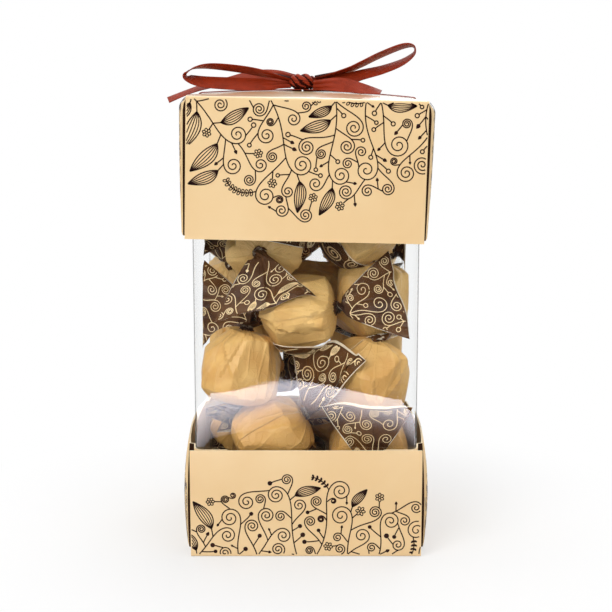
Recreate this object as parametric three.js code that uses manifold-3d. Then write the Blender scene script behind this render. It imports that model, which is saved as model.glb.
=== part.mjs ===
// A gift box of wrapped chocolate truffles: a card base tray, a clear square sleeve, a card lid
// tied with a ribbon bow, and the wrapped truffles inside. Millimetres, +Z up, floor at z = 0.
import * as THREE from 'three';
import { mergeVertices } from 'three/addons/utils/BufferGeometryUtils.js';
import Module from 'manifold-3d';

const wasm = await Module();
wasm.setup();

// Stock and fits
const CARD = 0.6; // card thickness of the tray and the lid
const FILM = 0.4; // film thickness of the sleeve
const SEAT_GAP = 0.3; // gap left where one piece rests on another
const CUT_REACH = 20; // how far a cutter runs past what it cuts

// Clear sleeve
const SLEEVE_W = 83; // outside width and depth
const SLEEVE_CORNER = 1.5; // outside radius of its folded corners
const SEAM_W = 9; // width of the glued overlap on the back wall

// Card tray and lid
const BOX_H = 171.3; // floor to the edge of the lid's top panel
const BASE_H = 41.4; // height of the tray's walls
const LID_H = 51.4; // height of the lid's walls
const SHELL_PLAY = 1.4; // play between the sleeve and the card on each side
const SIDE_BULGE = 2.3; // how far a side panel bows out at its middle
const TAB_W = 14; // width of a glue tab behind the front and back panels
const FOLD_IN = 3.6; // where a tab leaves the panel it is glued to
const FOLD_BACK = 1.9; // how far a side panel's fold stands behind that panel
const LID_TILT = 1.3; // degrees that the lid sits askew on the sleeve
const TOP_DOME = 2.2; // rise of the lid's top panel at its middle

// Ribbon and bow
const RIBBON_W = 6;
const RIBBON_T = 0.4;
const SLOT_IN = 3.6; // a ribbon slot's middle, in from the lid's side edge
const SLOT_GAP = 0.5; // play of the ribbon in a slot
const KNOT = { x: -2, w: 9, d: 7.4, h: 6.2 };
const KNOT_POWER = 0.8; // below 1 squares the knot off

// Wrapped truffles
const BODY_R = 14.6; // wrapped body, across
const BODY_L = 14.2; // half of its length
const BODY_POWER = 2.6; // above 2 squares its shoulders off
const PAPER = 0.6; // wrapper wall, with its folds
const NECK_R = 2.2; // twisted neck
const NECK_REACH = 2.6; // from the end of the body to the tightest part of its neck
const FAN_L = 23; // length of an opened end
const FAN_W = 34; // width of its outer edge
const FAN_T = 2.2; // thickness of its folded paper
const PLEAT_H = 1.2; // height of its pleats
const PLEATS = 2.5;
const SEAM_SLIT = 0.5; // open lap of the wrapper along the body
const REST_GAP = 0.4; // between one wrapped body and the next
const FAN_GAP = 0.5; // between an opened end and what it lies against
const FILM_GAP = 0.3; // between the wrappers and the sleeve
const DROP_FINE = 0.01; // how closely a truffle is let down on those under it

// Values that follow from those above
const PANEL_HALF = SLEEVE_W / 2 + SHELL_PLAY + CARD; // half width of a card panel
const PANEL_OUT = PANEL_HALF + CARD; // outer face of the front and back panels
const FOLD_Y = PANEL_HALF - FOLD_BACK; // a side panel ends here
const INNER_HALF = SLEEVE_W / 2 - FILM;
const TILT = THREE.MathUtils.degToRad(LID_TILT);
const SLOT_X = PANEL_HALF + SIDE_BULGE - SLOT_IN; // ribbon slots, from the middle of the lid
const BOW_UNIT = (PANEL_HALF + SIDE_BULGE) / 50; // the bow is laid out in hundredths of the lid's width
const UNDER_STRAP = 2 * SEAT_GAP + RIBBON_T; // room for the ribbon under the top panel
const NECK_AT = BODY_L + NECK_REACH;
const ROOM_HALF = INNER_HALF - FILM - FILM_GAP; // room inside the film and its lap
const REACH_HALF = ROOM_HALF - Math.max(BODY_R, BODY_L) - REST_GAP; // a body's middle stays inside
const SLEEVE_Z0 = CARD + SEAT_GAP;
const SLEEVE_Z1 = BOX_H - CARD - UNDER_STRAP - Math.sin(TILT) * SLEEVE_W / 2;

const CARD_FINISH = { color: 0xf1d6a2, roughness: 0.45, metalness: 0 };
const FILM_FINISH = { color: 0xf2f5f6, roughness: 0.05, metalness: 0, transparent: true, opacity: 0.2 };
const RIBBON_FINISH = { color: 0xa23f22, roughness: 0.4, metalness: 0 };
const PAPER_FINISH = { color: 0xb98a55, roughness: 0.4, metalness: 0 };
const CHOCOLATE_FINISH = { color: 0x3a1d10, roughness: 0.55, metalness: 0 };

const box = new THREE.Group();
box.name = 'truffle_gift_box';

function solidOf(geometry) {
  const bare = geometry.clone();
  bare.deleteAttribute('normal');
  bare.deleteAttribute('uv');
  const merged = mergeVertices(bare, 1e-4);
  return new wasm.Manifold(new wasm.Mesh({
    numProp: 3,
    vertProperties: new Float32Array(merged.attributes.position.array),
    triVerts: new Uint32Array(merged.index.array),
  }));
}

function geometryOf(solid) {
  const mesh = solid.getMesh();
  const geometry = new THREE.BufferGeometry();
  geometry.setAttribute('position', new THREE.BufferAttribute(mesh.vertProperties, mesh.numProp));
  geometry.setIndex(new THREE.BufferAttribute(mesh.triVerts, 1));
  geometry.computeVertexNormals();
  return geometry;
}

function addPiece(name, geometry, finish) {
  const mesh = new THREE.Mesh(geometry, new THREE.MeshStandardMaterial(finish));
  mesh.name = name;
  box.add(mesh);
}

function block(x0, x1, y0, y1, z0, z1) {
  const geometry = new THREE.BoxGeometry(x1 - x0, y1 - y0, z1 - z0);
  return geometry.translate((x0 + x1) / 2, (y0 + y1) / 2, (z0 + z1) / 2);
}

// An upright prism on a plan outline, with an optional hole.
function prism(outline, z0, z1, hole = null) {
  const shape = new THREE.Shape(outline);
  if (hole) {
    shape.holes.push(new THREE.Path(hole));
  }
  const geometry = new THREE.ExtrudeGeometry(shape, { depth: z1 - z0, bevelEnabled: false });
  return geometry.translate(0, 0, z0);
}

// A closed body through rings of points, each ring facing along the way from first to last.
function ringBody(rings, flatRing) {
  const count = rings[0].length;
  const positions = rings.flat().flatMap((p) => [p.x, p.y, p.z]);
  const index = [];
  for (let i = 0; i + 1 < rings.length; i += 1) {
    for (let j = 0; j < count; j += 1) {
      const a = i * count + j;
      const b = i * count + (j + 1) % count;
      index.push(a, b, b + count, a, b + count, a + count);
    }
  }
  const last = (rings.length - 1) * count;
  for (const [a, b, c] of THREE.ShapeUtils.triangulateShape(flatRing(0), [])) {
    index.push(c, b, a);
  }
  for (const [a, b, c] of THREE.ShapeUtils.triangulateShape(flatRing(rings.length - 1), [])) {
    index.push(last + a, last + b, last + c);
  }
  const geometry = new THREE.BufferGeometry();
  geometry.setAttribute('position', new THREE.Float32BufferAttribute(positions, 3));
  geometry.setIndex(index);
  return geometry;
}

// Half width of the card shells at a depth y: the side panels bow out between their folds.
function sideHalf(y) {
  const share = Math.min(Math.abs(y) / FOLD_Y, 1);
  return PANEL_HALF + SIDE_BULGE * (1 - share * share);
}

function sidePoints(inset) {
  const points = [];
  const steps = 8;
  for (let i = 0; i <= steps; i += 1) {
    const y = FOLD_Y * (2 * i / steps - 1);
    points.push(new THREE.Vector2(sideHalf(y) - inset, y));
  }
  return points;
}

// The outline of a card strip along a line of points.
function thickLine(points, thickness) {
  const left = [];
  const right = [];
  points.forEach((p, i) => {
    const before = points[Math.max(i - 1, 0)];
    const after = points[Math.min(i + 1, points.length - 1)];
    const along = after.clone().sub(before).normalize();
    const across = new THREE.Vector2(-along.y, along.x).multiplyScalar(thickness / 2);
    left.push(p.clone().add(across));
    right.unshift(p.clone().sub(across));
  });
  return [...left, ...right];
}

// One side panel with the glue tabs that run behind the front and back panels.
function sideStrip(z0, z1) {
  const tabY = PANEL_HALF - CARD / 2;
  const front = [
    new THREE.Vector2(PANEL_HALF - TAB_W, -tabY),
    new THREE.Vector2(PANEL_HALF - FOLD_IN, -tabY),
  ];
  const back = front.map((p) => new THREE.Vector2(p.x, -p.y)).reverse();
  return prism(thickLine([...front, ...sidePoints(CARD / 2), ...back], CARD), z0, z1);
}

// The four walls of a card shell.
function cardWalls(z0, z1) {
  const right = solidOf(sideStrip(z0, z1));
  const left = right.rotate([0, 0, 180]);
  const front = solidOf(block(-PANEL_HALF, PANEL_HALF, -PANEL_OUT, -PANEL_HALF, z0, z1));
  const back = solidOf(block(-PANEL_HALF, PANEL_HALF, PANEL_HALF, PANEL_OUT, z0, z1));
  return right.add(left).add(front).add(back);
}

function floorOutline() {
  const right = sidePoints(0);
  const left = right.map((p) => new THREE.Vector2(-p.x, -p.y));
  return [
    new THREE.Vector2(-PANEL_HALF, -PANEL_OUT),
    new THREE.Vector2(PANEL_HALF, -PANEL_OUT),
    ...right,
    new THREE.Vector2(PANEL_HALF, PANEL_OUT),
    new THREE.Vector2(-PANEL_HALF, PANEL_OUT),
    ...left,
  ];
}

function baseTray() {
  const floor = solidOf(prism(floorOutline(), 0, CARD));
  return geometryOf(floor.add(cardWalls(0, BASE_H)));
}

function roundedSquare(half, radius) {
  const points = [];
  const steps = 3;
  for (let corner = 0; corner < 4; corner += 1) {
    const middle = new THREE.Vector2(half - radius, half - radius);
    for (let i = 0; i <= steps; i += 1) {
      const angle = Math.PI / 2 * i / steps;
      const p = new THREE.Vector2(Math.cos(angle), Math.sin(angle)).multiplyScalar(radius);
      points.push(p.add(middle).rotateAround(new THREE.Vector2(), Math.PI / 2 * corner));
    }
  }
  return points;
}

function clearSleeve() {
  const outer = roundedSquare(SLEEVE_W / 2, SLEEVE_CORNER);
  const inner = roundedSquare(INNER_HALF, SLEEVE_CORNER - FILM);
  const tube = solidOf(prism(outer, SLEEVE_Z0, SLEEVE_Z1, inner));
  const lapX = INNER_HALF - SLEEVE_CORNER;
  const lap = block(lapX - SEAM_W, lapX, INNER_HALF - FILM, INNER_HALF + FILM / 2, SLEEVE_Z0, SLEEVE_Z1);
  return geometryOf(tube.add(solidOf(lap)));
}

// The lid and its ribbon are laid out level, with z = 0 at the edge of the top panel.
function dome(x, y) {
  const u = Math.min(Math.abs(x) / sideHalf(y), 1);
  const v = Math.min(Math.abs(y) / PANEL_OUT, 1);
  return TOP_DOME * (1 - u * u) * (1 - v * v);
}

function topPanel() {
  const steps = 8;
  const layer = (drop) => {
    const rows = [];
    for (let i = 0; i <= steps; i += 1) {
      const y = PANEL_OUT * (2 * i / steps - 1);
      for (let j = 0; j <= steps; j += 1) {
        const x = sideHalf(y) * (2 * j / steps - 1);
        rows.push(x, y, dome(x, y) - drop);
      }
    }
    return rows;
  };
  const wide = steps + 1;
  const under = wide * wide;
  const index = [];
  for (let i = 0; i < steps; i += 1) {
    for (let j = 0; j < steps; j += 1) {
      const a = i * wide + j;
      index.push(a, a + 1, a + wide + 1, a, a + wide + 1, a + wide);
      index.push(under + a, under + a + wide + 1, under + a + 1);
      index.push(under + a, under + a + wide, under + a + wide + 1);
    }
    for (const [a, b] of [
      [i, i + 1],
      [(i + 1) * wide - 1, (i + 2) * wide - 1],
      [steps * wide + i + 1, steps * wide + i],
      [(i + 1) * wide, i * wide],
    ]) {
      index.push(a, under + a, under + b, a, under + b, b);
    }
  }
  const geometry = new THREE.BufferGeometry();
  geometry.setAttribute('position', new THREE.Float32BufferAttribute([...layer(0), ...layer(CARD)], 3));
  geometry.setIndex(index);
  return solidOf(geometry);
}

function lidShell() {
  let shell = topPanel().add(cardWalls(-LID_H, -CARD / 2));
  const halfW = RIBBON_W / 2 + SLOT_GAP;
  const halfT = RIBBON_T / 2 + SLOT_GAP;
  for (const x of [-SLOT_X, SLOT_X]) {
    const slot = block(x - halfT, x + halfT, -halfW, halfW, -LID_H / 2, CUT_REACH);
    shell = shell.subtract(solidOf(slot));
  }
  return geometryOf(shell);
}

// A strip of ribbon through [x, y, z, lean] stations. Lean turns its width out of level, in degrees.
function ribbonStrip(stations, steps) {
  const curve = new THREE.CatmullRomCurve3(stations.map((s) => new THREE.Vector3(s[0], s[1], s[2])));
  const rings = [];
  for (let i = 0; i <= steps; i += 1) {
    const place = i / steps;
    const slot = Math.min(Math.floor(place * (stations.length - 1)), stations.length - 2);
    const part = place * (stations.length - 1) - slot;
    const lean = THREE.MathUtils.degToRad(
      THREE.MathUtils.lerp(stations[slot][3], stations[slot + 1][3], part));
    const along = curve.getTangent(place);
    const level = new THREE.Vector3(0, Math.cos(lean), Math.sin(lean));
    const across = level.addScaledVector(along, -level.dot(along)).normalize();
    const face = new THREE.Vector3().crossVectors(along, across);
    rings.push([[1, 1], [-1, 1], [-1, -1], [1, -1]].map(([w, t]) => curve.getPoint(place)
      .addScaledVector(across, w * RIBBON_W / 2)
      .addScaledVector(face, t * RIBBON_T / 2)));
  }
  const flat = [[1, 1], [-1, 1], [-1, -1], [1, -1]].map(([x, y]) => new THREE.Vector2(x, y));
  return ringBody(rings, () => flat);
}

// The ribbon from the knot over the top panel, down a slot, under the panel and up the other slot.
function ribbonStrap() {
  const over = SEAT_GAP + RIBBON_T / 2;
  const under = -CARD - SEAT_GAP - RIBBON_T / 2;
  const runs = 6;
  const half = (side) => {
    const stations = [];
    const start = KNOT.x + side * (KNOT.w / 2 + SEAT_GAP);
    const bend = side * (SLOT_X - 2 * RIBBON_T);
    for (let i = 0; i <= runs; i += 1) {
      const x = THREE.MathUtils.lerp(start, bend, i / runs);
      stations.push([x, 0, dome(x, 0) + over, 0]);
    }
    stations.push([side * SLOT_X, 0, dome(SLOT_X, 0) - CARD / 2, 0]);
    return stations;
  };
  const below = [];
  for (let i = 0; i <= runs; i += 1) {
    const x = (SLOT_X - 2 * RIBBON_T) * (2 * i / runs - 1);
    below.push([x, 0, dome(x, 0) + under, 0]);
  }
  return ribbonStrip([...half(-1), ...below, ...half(1).reverse()], 60);
}

function bowKnot() {
  const geometry = new THREE.SphereGeometry(1, 16, 10);
  const p = geometry.attributes.position;
  const square = (v) => Math.sign(v) * Math.abs(v) ** KNOT_POWER;
  for (let i = 0; i < p.count; i += 1) {
    p.setXYZ(
      i,
      KNOT.x + square(p.getX(i)) * KNOT.w / 2,
      square(p.getY(i)) * KNOT.d / 2,
      TOP_DOME + SEAT_GAP + KNOT.h / 2 + square(p.getZ(i)) * KNOT.h / 2,
    );
  }
  return geometryOf(solidOf(geometry));
}

const KNOT_L = (KNOT.x - KNOT.w / 2 - SEAT_GAP) / BOW_UNIT;
const KNOT_R = (KNOT.x + KNOT.w / 2 + SEAT_GAP) / BOW_UNIT;

// Loops and tails: heights are above the middle of the top panel.
function bowStrip(stations, steps) {
  return ribbonStrip(stations.map(([x, y, z, lean]) => (
    [x * BOW_UNIT, y * BOW_UNIT, z * BOW_UNIT + TOP_DOME, lean])), steps);
}

function leftLoop() {
  return bowStrip([
    [KNOT_L, -0.5, 2.8, 25], [-17.5, -1.6, 2.4, 35], [-32.8, -2.2, 2.6, 35], [-44.8, -1.6, 3.2, 25],
    [-50.9, -1.1, 4.8, 10], [-51.1, -0.5, 6.8, 0], [-47.5, 0, 8.7, -8], [-40.4, 0.5, 9.4, -8],
    [-27.3, 0.5, 8.3, -6], [-15.3, 0, 6.3, -6], [KNOT_L, -0.5, 5, -6],
  ], 30);
}

function rightLoop() {
  return bowStrip([
    [KNOT_R, -0.5, 3.5, 40], [10.3, -1.1, 4.3, 40], [16.9, -1.1, 5.7, 35], [22.9, -0.5, 7.6, 25],
    [31.7, 0, 10, 20], [39.8, 0.5, 13.3, 15], [44.5, 0.5, 17, 5], [44.1, 0.5, 19.7, -5],
    [39.3, 0.5, 19.4, -8], [30, 0.5, 15.5, -8], [22.4, 0, 11.6, -10], [15.3, -0.5, 8.5, -10],
    [KNOT_R, -0.5, 5.7, -10],
  ], 34);
}

function leftTail() {
  return bowStrip([
    [KNOT_L + 1.6, 5, 5, -60], [-13.1, 7, 6.3, -45], [-24, 8.1, 5.9, -30], [-34.4, 8.3, 3.7, -15],
    [-44.8, 8.1, 1, -10], [-52.4, 7.4, -1.7, -15], [-60, 6.6, -5, -25],
  ], 18);
}

function rightTail() {
  return bowStrip([
    [KNOT_R - 0.7, -4.6, 2.8, 50], [8.7, -6.6, 2.8, 40], [15.3, -8.7, 2.5, 20], [22.9, -10.3, 1.7, 0],
    [30.6, -11.4, 0.4, 0],
  ], 14);
}

// From the level layout to the lid's place, askew on the sleeve.
function seatLid(geometry) {
  geometry.translate(0, 0, LID_H / 2);
  geometry.rotateY(TILT);
  return geometry.translate(0, 0, BOX_H - LID_H / 2);
}

// Wrapped truffles. Each has a place in plan, as shares of the way from the middle to where it would
// touch the film, a heading of its long way and a rise of its far end. For each end there is the angle
// that the fan bends, the way it bends and the turn of its flat, in degrees. Each truffle is let down
// on those before it.
const TRUFFLES = [
  { x: -1, y: -1, heading: 15, rise: 0, ends: [[70, 0, 90], [20, 0, 60]] },
  { x: 0.24, y: -1, heading: -8, rise: 0, ends: [[20, 180, 30], [15, 90, 60]] },
  { x: 1, y: 1, heading: 10, rise: 0, ends: [[20, 0, 40], [70, 180, 90]] },
  { x: -0.24, y: 1, heading: 170, rise: 0, ends: [[20, 180, 30], [15, 90, 60]] },
  { x: -0.5, y: -0.98, heading: 0, rise: 34, ends: [[30, -90, 80], [32, 90, 90]] },
  { x: 1, y: -0.76, heading: 84, rise: 6, ends: [[80, 90, 4], [30, 90, 20]] },
  { x: 0.46, y: 0.98, heading: 180, rise: 35, ends: [[30, -90, 80], [25, 90, 88]] },
  { x: -1, y: 0.8, heading: 262, rise: 8, ends: [[80, 90, 8], [30, 90, 20]] },
  { x: -1, y: -0.96, heading: 30, rise: 78, ends: [[60, 0, 90], [80, -30, 60]] },
  { x: 1, y: -0.86, heading: -40, rise: 80, ends: [[60, 60, 150], [60, 20, 110]] },
  { x: 1, y: 0.96, heading: 210, rise: 76, ends: [[60, 0, 90], [45, 0, 100]] },
  { x: -1, y: 0.9, heading: 130, rise: 82, ends: [[60, 60, 150], [60, 20, 110]] },
  { x: -0.12, y: -0.97, heading: -12, rise: 8, ends: [[18, 90, 80], [6, 90, 84]] },
  { x: 1, y: -0.5, heading: 95, rise: 84, ends: [[60, 180, 90], [55, 0, 80]] },
  { x: 0.08, y: 0.97, heading: 168, rise: 6, ends: [[12, 60, 62], [6, 90, 84]] },
  { x: -1, y: 0.6, heading: 250, rise: 30, ends: [[70, 90, 0], [20, 90, 10]] },
  { x: -0.62, y: -0.6, heading: 84, rise: 10, ends: [[72, -90, 4], [60, 90, 0]] },
  { x: 0.8, y: -0.5, heading: 24, rise: 22, ends: [[12, 0, 84], [60, 90, 0]] },
  { x: 0.9, y: 0.96, heading: 150, rise: 10, ends: [[30, 90, 70], [12, -90, 84]] },
  { x: -0.3, y: 0.62, heading: 20, rise: 8, ends: [[10, 90, 40], [20, 90, 120]] },
];

function bodyRadius(s) {
  const k = Math.min(Math.abs(s) / BODY_L, 1);
  return Math.max(BODY_R * (1 - k ** BODY_POWER) ** (1 / BODY_POWER), NECK_R);
}

// The truffle's own directions: along it, level across it, and up.
function truffleFrame({ heading, rise }) {
  const h = THREE.MathUtils.degToRad(heading);
  const r = THREE.MathUtils.degToRad(rise);
  const along = new THREE.Vector3(Math.cos(h) * Math.cos(r), Math.sin(h) * Math.cos(r), Math.sin(r));
  const level = new THREE.Vector3(-Math.sin(h), Math.cos(h), 0);
  const up = new THREE.Vector3().crossVectors(along, level);
  return new THREE.Matrix4().makeBasis(along, level, up);
}

const RING = 10;

function roundRing(s, radius, twist = 0) {
  return Array.from({ length: RING }, (_, j) => {
    const a = 2 * Math.PI * j / RING + twist;
    return new THREE.Vector3(s, radius * Math.cos(a), radius * Math.sin(a));
  });
}

const BODY_STATIONS = [-0.96, -0.8, -0.45, 0, 0.45, 0.8, 0.96];
const CORE_STATIONS = [-0.94, -0.7, 0, 0.7, 0.94];

function flatCircle() {
  return roundRing(0, 1).map((p) => new THREE.Vector2(p.y, p.z));
}

// A body of revolution that follows the wrapped body, larger or smaller by grow.
function bodyForm(grow, stations = BODY_STATIONS) {
  const scale = 1 + grow / BODY_L;
  const rings = stations.map((k) => roundRing(k * BODY_L * scale, bodyRadius(k * BODY_L) + grow));
  return ringBody(rings, flatCircle);
}

// The outline across an opened end: a pleated strip, or the plain room around it when it grows.
function fanOutline(share, grow) {
  const halfW = THREE.MathUtils.lerp(NECK_R, FAN_W / 2, share) + grow;
  const full = grow > 0 ? FAN_T / 2 + 2 * PLEAT_H * share : FAN_T / 2;
  const halfT = THREE.MathUtils.lerp(NECK_R, full, Math.min(3 * share, 1)) + grow;
  return Array.from({ length: RING }, (_, j) => {
    const a = 2 * Math.PI * j / RING;
    const pleat = grow > 0 ? 0 : PLEAT_H * share * Math.cos(PLEATS * Math.PI * Math.cos(a));
    return new THREE.Vector2(halfW * Math.cos(a), halfT * Math.sin(a) + pleat);
  });
}

const FAN_STATIONS = [0.33, 1];

// The turn of a fan's flat, taken the short way round.
function fanTwist([, , turn]) {
  return THREE.MathUtils.degToRad(THREE.MathUtils.euclideanModulo(turn + 90, 180) - 90);
}

function fanRings(side, end, grow) {
  const b = THREE.MathUtils.degToRad(end[0]);
  const t = THREE.MathUtils.degToRad(end[1]);
  const f = fanTwist(end);
  const out = new THREE.Vector3(
    side * Math.cos(b), Math.sin(b) * Math.cos(t), Math.sin(b) * Math.sin(t));
  const flat = new THREE.Vector3(0, Math.cos(f), Math.sin(f));
  const across = flat.addScaledVector(out, -flat.dot(out)).normalize();
  const face = new THREE.Vector3().crossVectors(out, across).multiplyScalar(side);
  const neck = new THREE.Vector3(side * NECK_AT, 0, 0);
  return FAN_STATIONS.map((share) => fanOutline(share, grow).map((p) => neck.clone()
    .addScaledVector(out, share * (FAN_L + grow))
    .addScaledVector(across, p.x)
    .addScaledVector(face, p.y)));
}

// The whole outside of a wrapper: fan, neck, body, neck, fan.
function wrapperForm({ ends }, grow) {
  const rings = [
    ...fanRings(-1, ends[0], grow).reverse(),
    roundRing(-NECK_AT, NECK_R + grow, fanTwist(ends[0]) / 2),
    ...BODY_STATIONS.map((k) => roundRing(k * BODY_L, bodyRadius(k * BODY_L) + grow)),
    roundRing(NECK_AT, NECK_R + grow, fanTwist(ends[1]) / 2),
    ...fanRings(1, ends[1], grow),
  ];
  return ringBody(rings, () => fanOutline(1, grow));
}

function turned(geometry, truffle) {
  return solidOf(geometry.applyMatrix4(truffleFrame(truffle)));
}

// Let each wrapped body down until it rests on the floor or on one before it.
function settle() {
  const resting = [];
  for (const truffle of TRUFFLES) {
    const place = [truffle.x * REACH_HALF, truffle.y * REACH_HALF];
    const body = turned(bodyForm(0), truffle).translate([...place, 0]);
    let low = CARD + SEAT_GAP - body.boundingBox().min[2];
    let high = BOX_H;
    const meets = (z) => {
      const moved = body.translate([0, 0, z]);
      return resting.some((other) => moved.minGap(other, 2 * REST_GAP) < REST_GAP);
    };
    const step = BODY_R / 2;
    for (let z = BOX_H; z > low; z -= step) {
      if (meets(z)) {
        low = z;
        break;
      }
      high = z;
    }
    while (high - low > DROP_FINE) {
      const middle = (high + low) / 2;
      if (meets(middle)) {
        low = middle;
      } else {
        high = middle;
      }
    }
    truffle.at = [...place, high];
    resting.push(body.translate([0, 0, high]));
  }
}

function largest(solid) {
  return solid.decompose().reduce((a, b) => (a.volume() > b.volume() ? a : b));
}

// The room inside the sleeve, clear of its film.
function innerRoom() {
  const half = ROOM_HALF;
  return solidOf(block(-half, half, -half, half, CARD + SEAT_GAP, BOX_H - CARD));
}

// Wrappers: hollow, open along the lap, with fans that give way to their neighbours.
function addTruffles() {
  settle();
  const room = innerRoom();
  const placed = (form, truffle) => turned(form, truffle).translate(truffle.at);
  const bodies = TRUFFLES.map((t) => placed(bodyForm(SEAT_GAP), t));
  const wraps = TRUFFLES.map((t) => placed(wrapperForm(t, FAN_GAP), t));
  TRUFFLES.forEach((truffle, i) => {
    const label = String(i + 1).padStart(2, '0');
    let wrap = placed(wrapperForm(truffle, 0), truffle).intersect(room);
    TRUFFLES.forEach((_, j) => {
      if (j !== i) {
        wrap = wrap.subtract(j < i ? wraps[j] : bodies[j]);
      }
    });
    wrap = wrap.add(placed(bodyForm(0), truffle));
    const slit = block(-BODY_L / 2, BODY_L / 2, 0, BODY_R + PAPER, -SEAM_SLIT / 2, SEAM_SLIT / 2);
    wrap = wrap.subtract(placed(bodyForm(-PAPER, CORE_STATIONS), truffle)).subtract(placed(slit, truffle));
    addPiece(`wrapper_${label}`, geometryOf(largest(wrap)), PAPER_FINISH);
    const chocolate = placed(bodyForm(-PAPER - SEAT_GAP, CORE_STATIONS), truffle);
    addPiece(`truffle_${label}`, geometryOf(chocolate), CHOCOLATE_FINISH);
  });
}

addPiece('base_tray', baseTray(), CARD_FINISH);
addPiece('clear_sleeve', clearSleeve(), FILM_FINISH);
addPiece('lid', seatLid(lidShell()), CARD_FINISH);
addPiece('ribbon_strap', seatLid(ribbonStrap()), RIBBON_FINISH);
addPiece('bow_knot', seatLid(bowKnot()), RIBBON_FINISH);
addPiece('bow_loop_left', seatLid(leftLoop()), RIBBON_FINISH);
addPiece('bow_loop_right', seatLid(rightLoop()), RIBBON_FINISH);
addPiece('bow_tail_left', seatLid(leftTail()), RIBBON_FINISH);
addPiece('bow_tail_right', seatLid(rightTail()), RIBBON_FINISH);
addTruffles();

export default box;
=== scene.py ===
"""A gift box of wrapped truffles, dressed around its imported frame.

The box is a card tray and a card lid over a clear square sleeve, tied with a ribbon bow, with
twist-wrapped truffles inside. Sizes in the classes are millimetres; meshes are made in metres.
"""
import logging
import math
import random
from dataclasses import dataclass, field
from enum import Enum
from functools import cache
from typing import Callable, Iterable, Optional, Sequence

import bpy
import numpy as np
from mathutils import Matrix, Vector, noise


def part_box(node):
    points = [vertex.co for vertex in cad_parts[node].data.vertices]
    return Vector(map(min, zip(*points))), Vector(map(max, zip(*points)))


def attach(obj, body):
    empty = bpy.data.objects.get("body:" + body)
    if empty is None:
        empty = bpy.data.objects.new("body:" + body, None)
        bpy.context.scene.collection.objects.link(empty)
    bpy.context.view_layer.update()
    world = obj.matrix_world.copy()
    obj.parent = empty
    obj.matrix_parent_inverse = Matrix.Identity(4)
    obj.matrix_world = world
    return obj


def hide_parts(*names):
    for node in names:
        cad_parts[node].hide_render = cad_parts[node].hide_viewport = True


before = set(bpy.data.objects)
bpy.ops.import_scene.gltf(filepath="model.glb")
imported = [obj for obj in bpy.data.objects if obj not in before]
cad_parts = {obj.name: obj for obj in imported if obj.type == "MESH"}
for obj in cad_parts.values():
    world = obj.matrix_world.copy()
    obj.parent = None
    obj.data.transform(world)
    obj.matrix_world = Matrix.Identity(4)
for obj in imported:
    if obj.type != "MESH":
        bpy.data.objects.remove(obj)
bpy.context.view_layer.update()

MM = 0.001
TURN = 2 * math.pi
HANDS = (-1, 1)
WHITE = (1.0, 1.0, 1.0, 1.0)
log = logging.getLogger("truffle_box")

Points = np.ndarray
Colour = tuple[float, float, float, float]
Surface = Callable[[Points], tuple[Points, Points]]
Test = Callable[[Points], Points]
Piece = bpy.types.Object
Material = bpy.types.Material
Node = bpy.types.Node
Socket = bpy.types.NodeSocket
Tree = bpy.types.NodeTree


class Body(Enum):
    """The bodies of the frame that a piece can ride on."""

    BASE = "base"
    SLEEVE = "sleeve"
    LID = "lid"


class Slot(Enum):
    """The record's material slots."""

    CARD = "printed_card"
    FILM = "clear_film"
    RIBBON = "satin_ribbon"
    PAPER = "wrapper_paper"
    CHOCOLATE = "chocolate"


class Side(Enum):
    """The two ends of a wrapper."""

    MINUS = -1
    PLUS = 1


def srgb(red: int, green: int, blue: int) -> Colour:
    """Turn a colour as it is seen, 0 to 255, into linear values with full alpha."""
    shares = (v / 255 for v in (red, green, blue))
    return (*(s / 12.92 if s <= 0.04045 else ((s + 0.055) / 1.055) ** 2.4 for s in shares), 1.0)


def smooth(low: float, high: float, value: Points) -> Points:
    """Ease from 0 at low to 1 at high."""
    share = np.clip((np.asarray(value, float) - low) / (high - low), 0.0, 1.0)
    return share * share * (3.0 - 2.0 * share)


def lay(*ways: Points) -> Points:
    """Put places along each way together into points, spread over one another's rows and columns."""
    return np.stack(np.broadcast_arrays(*ways), -1)


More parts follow.
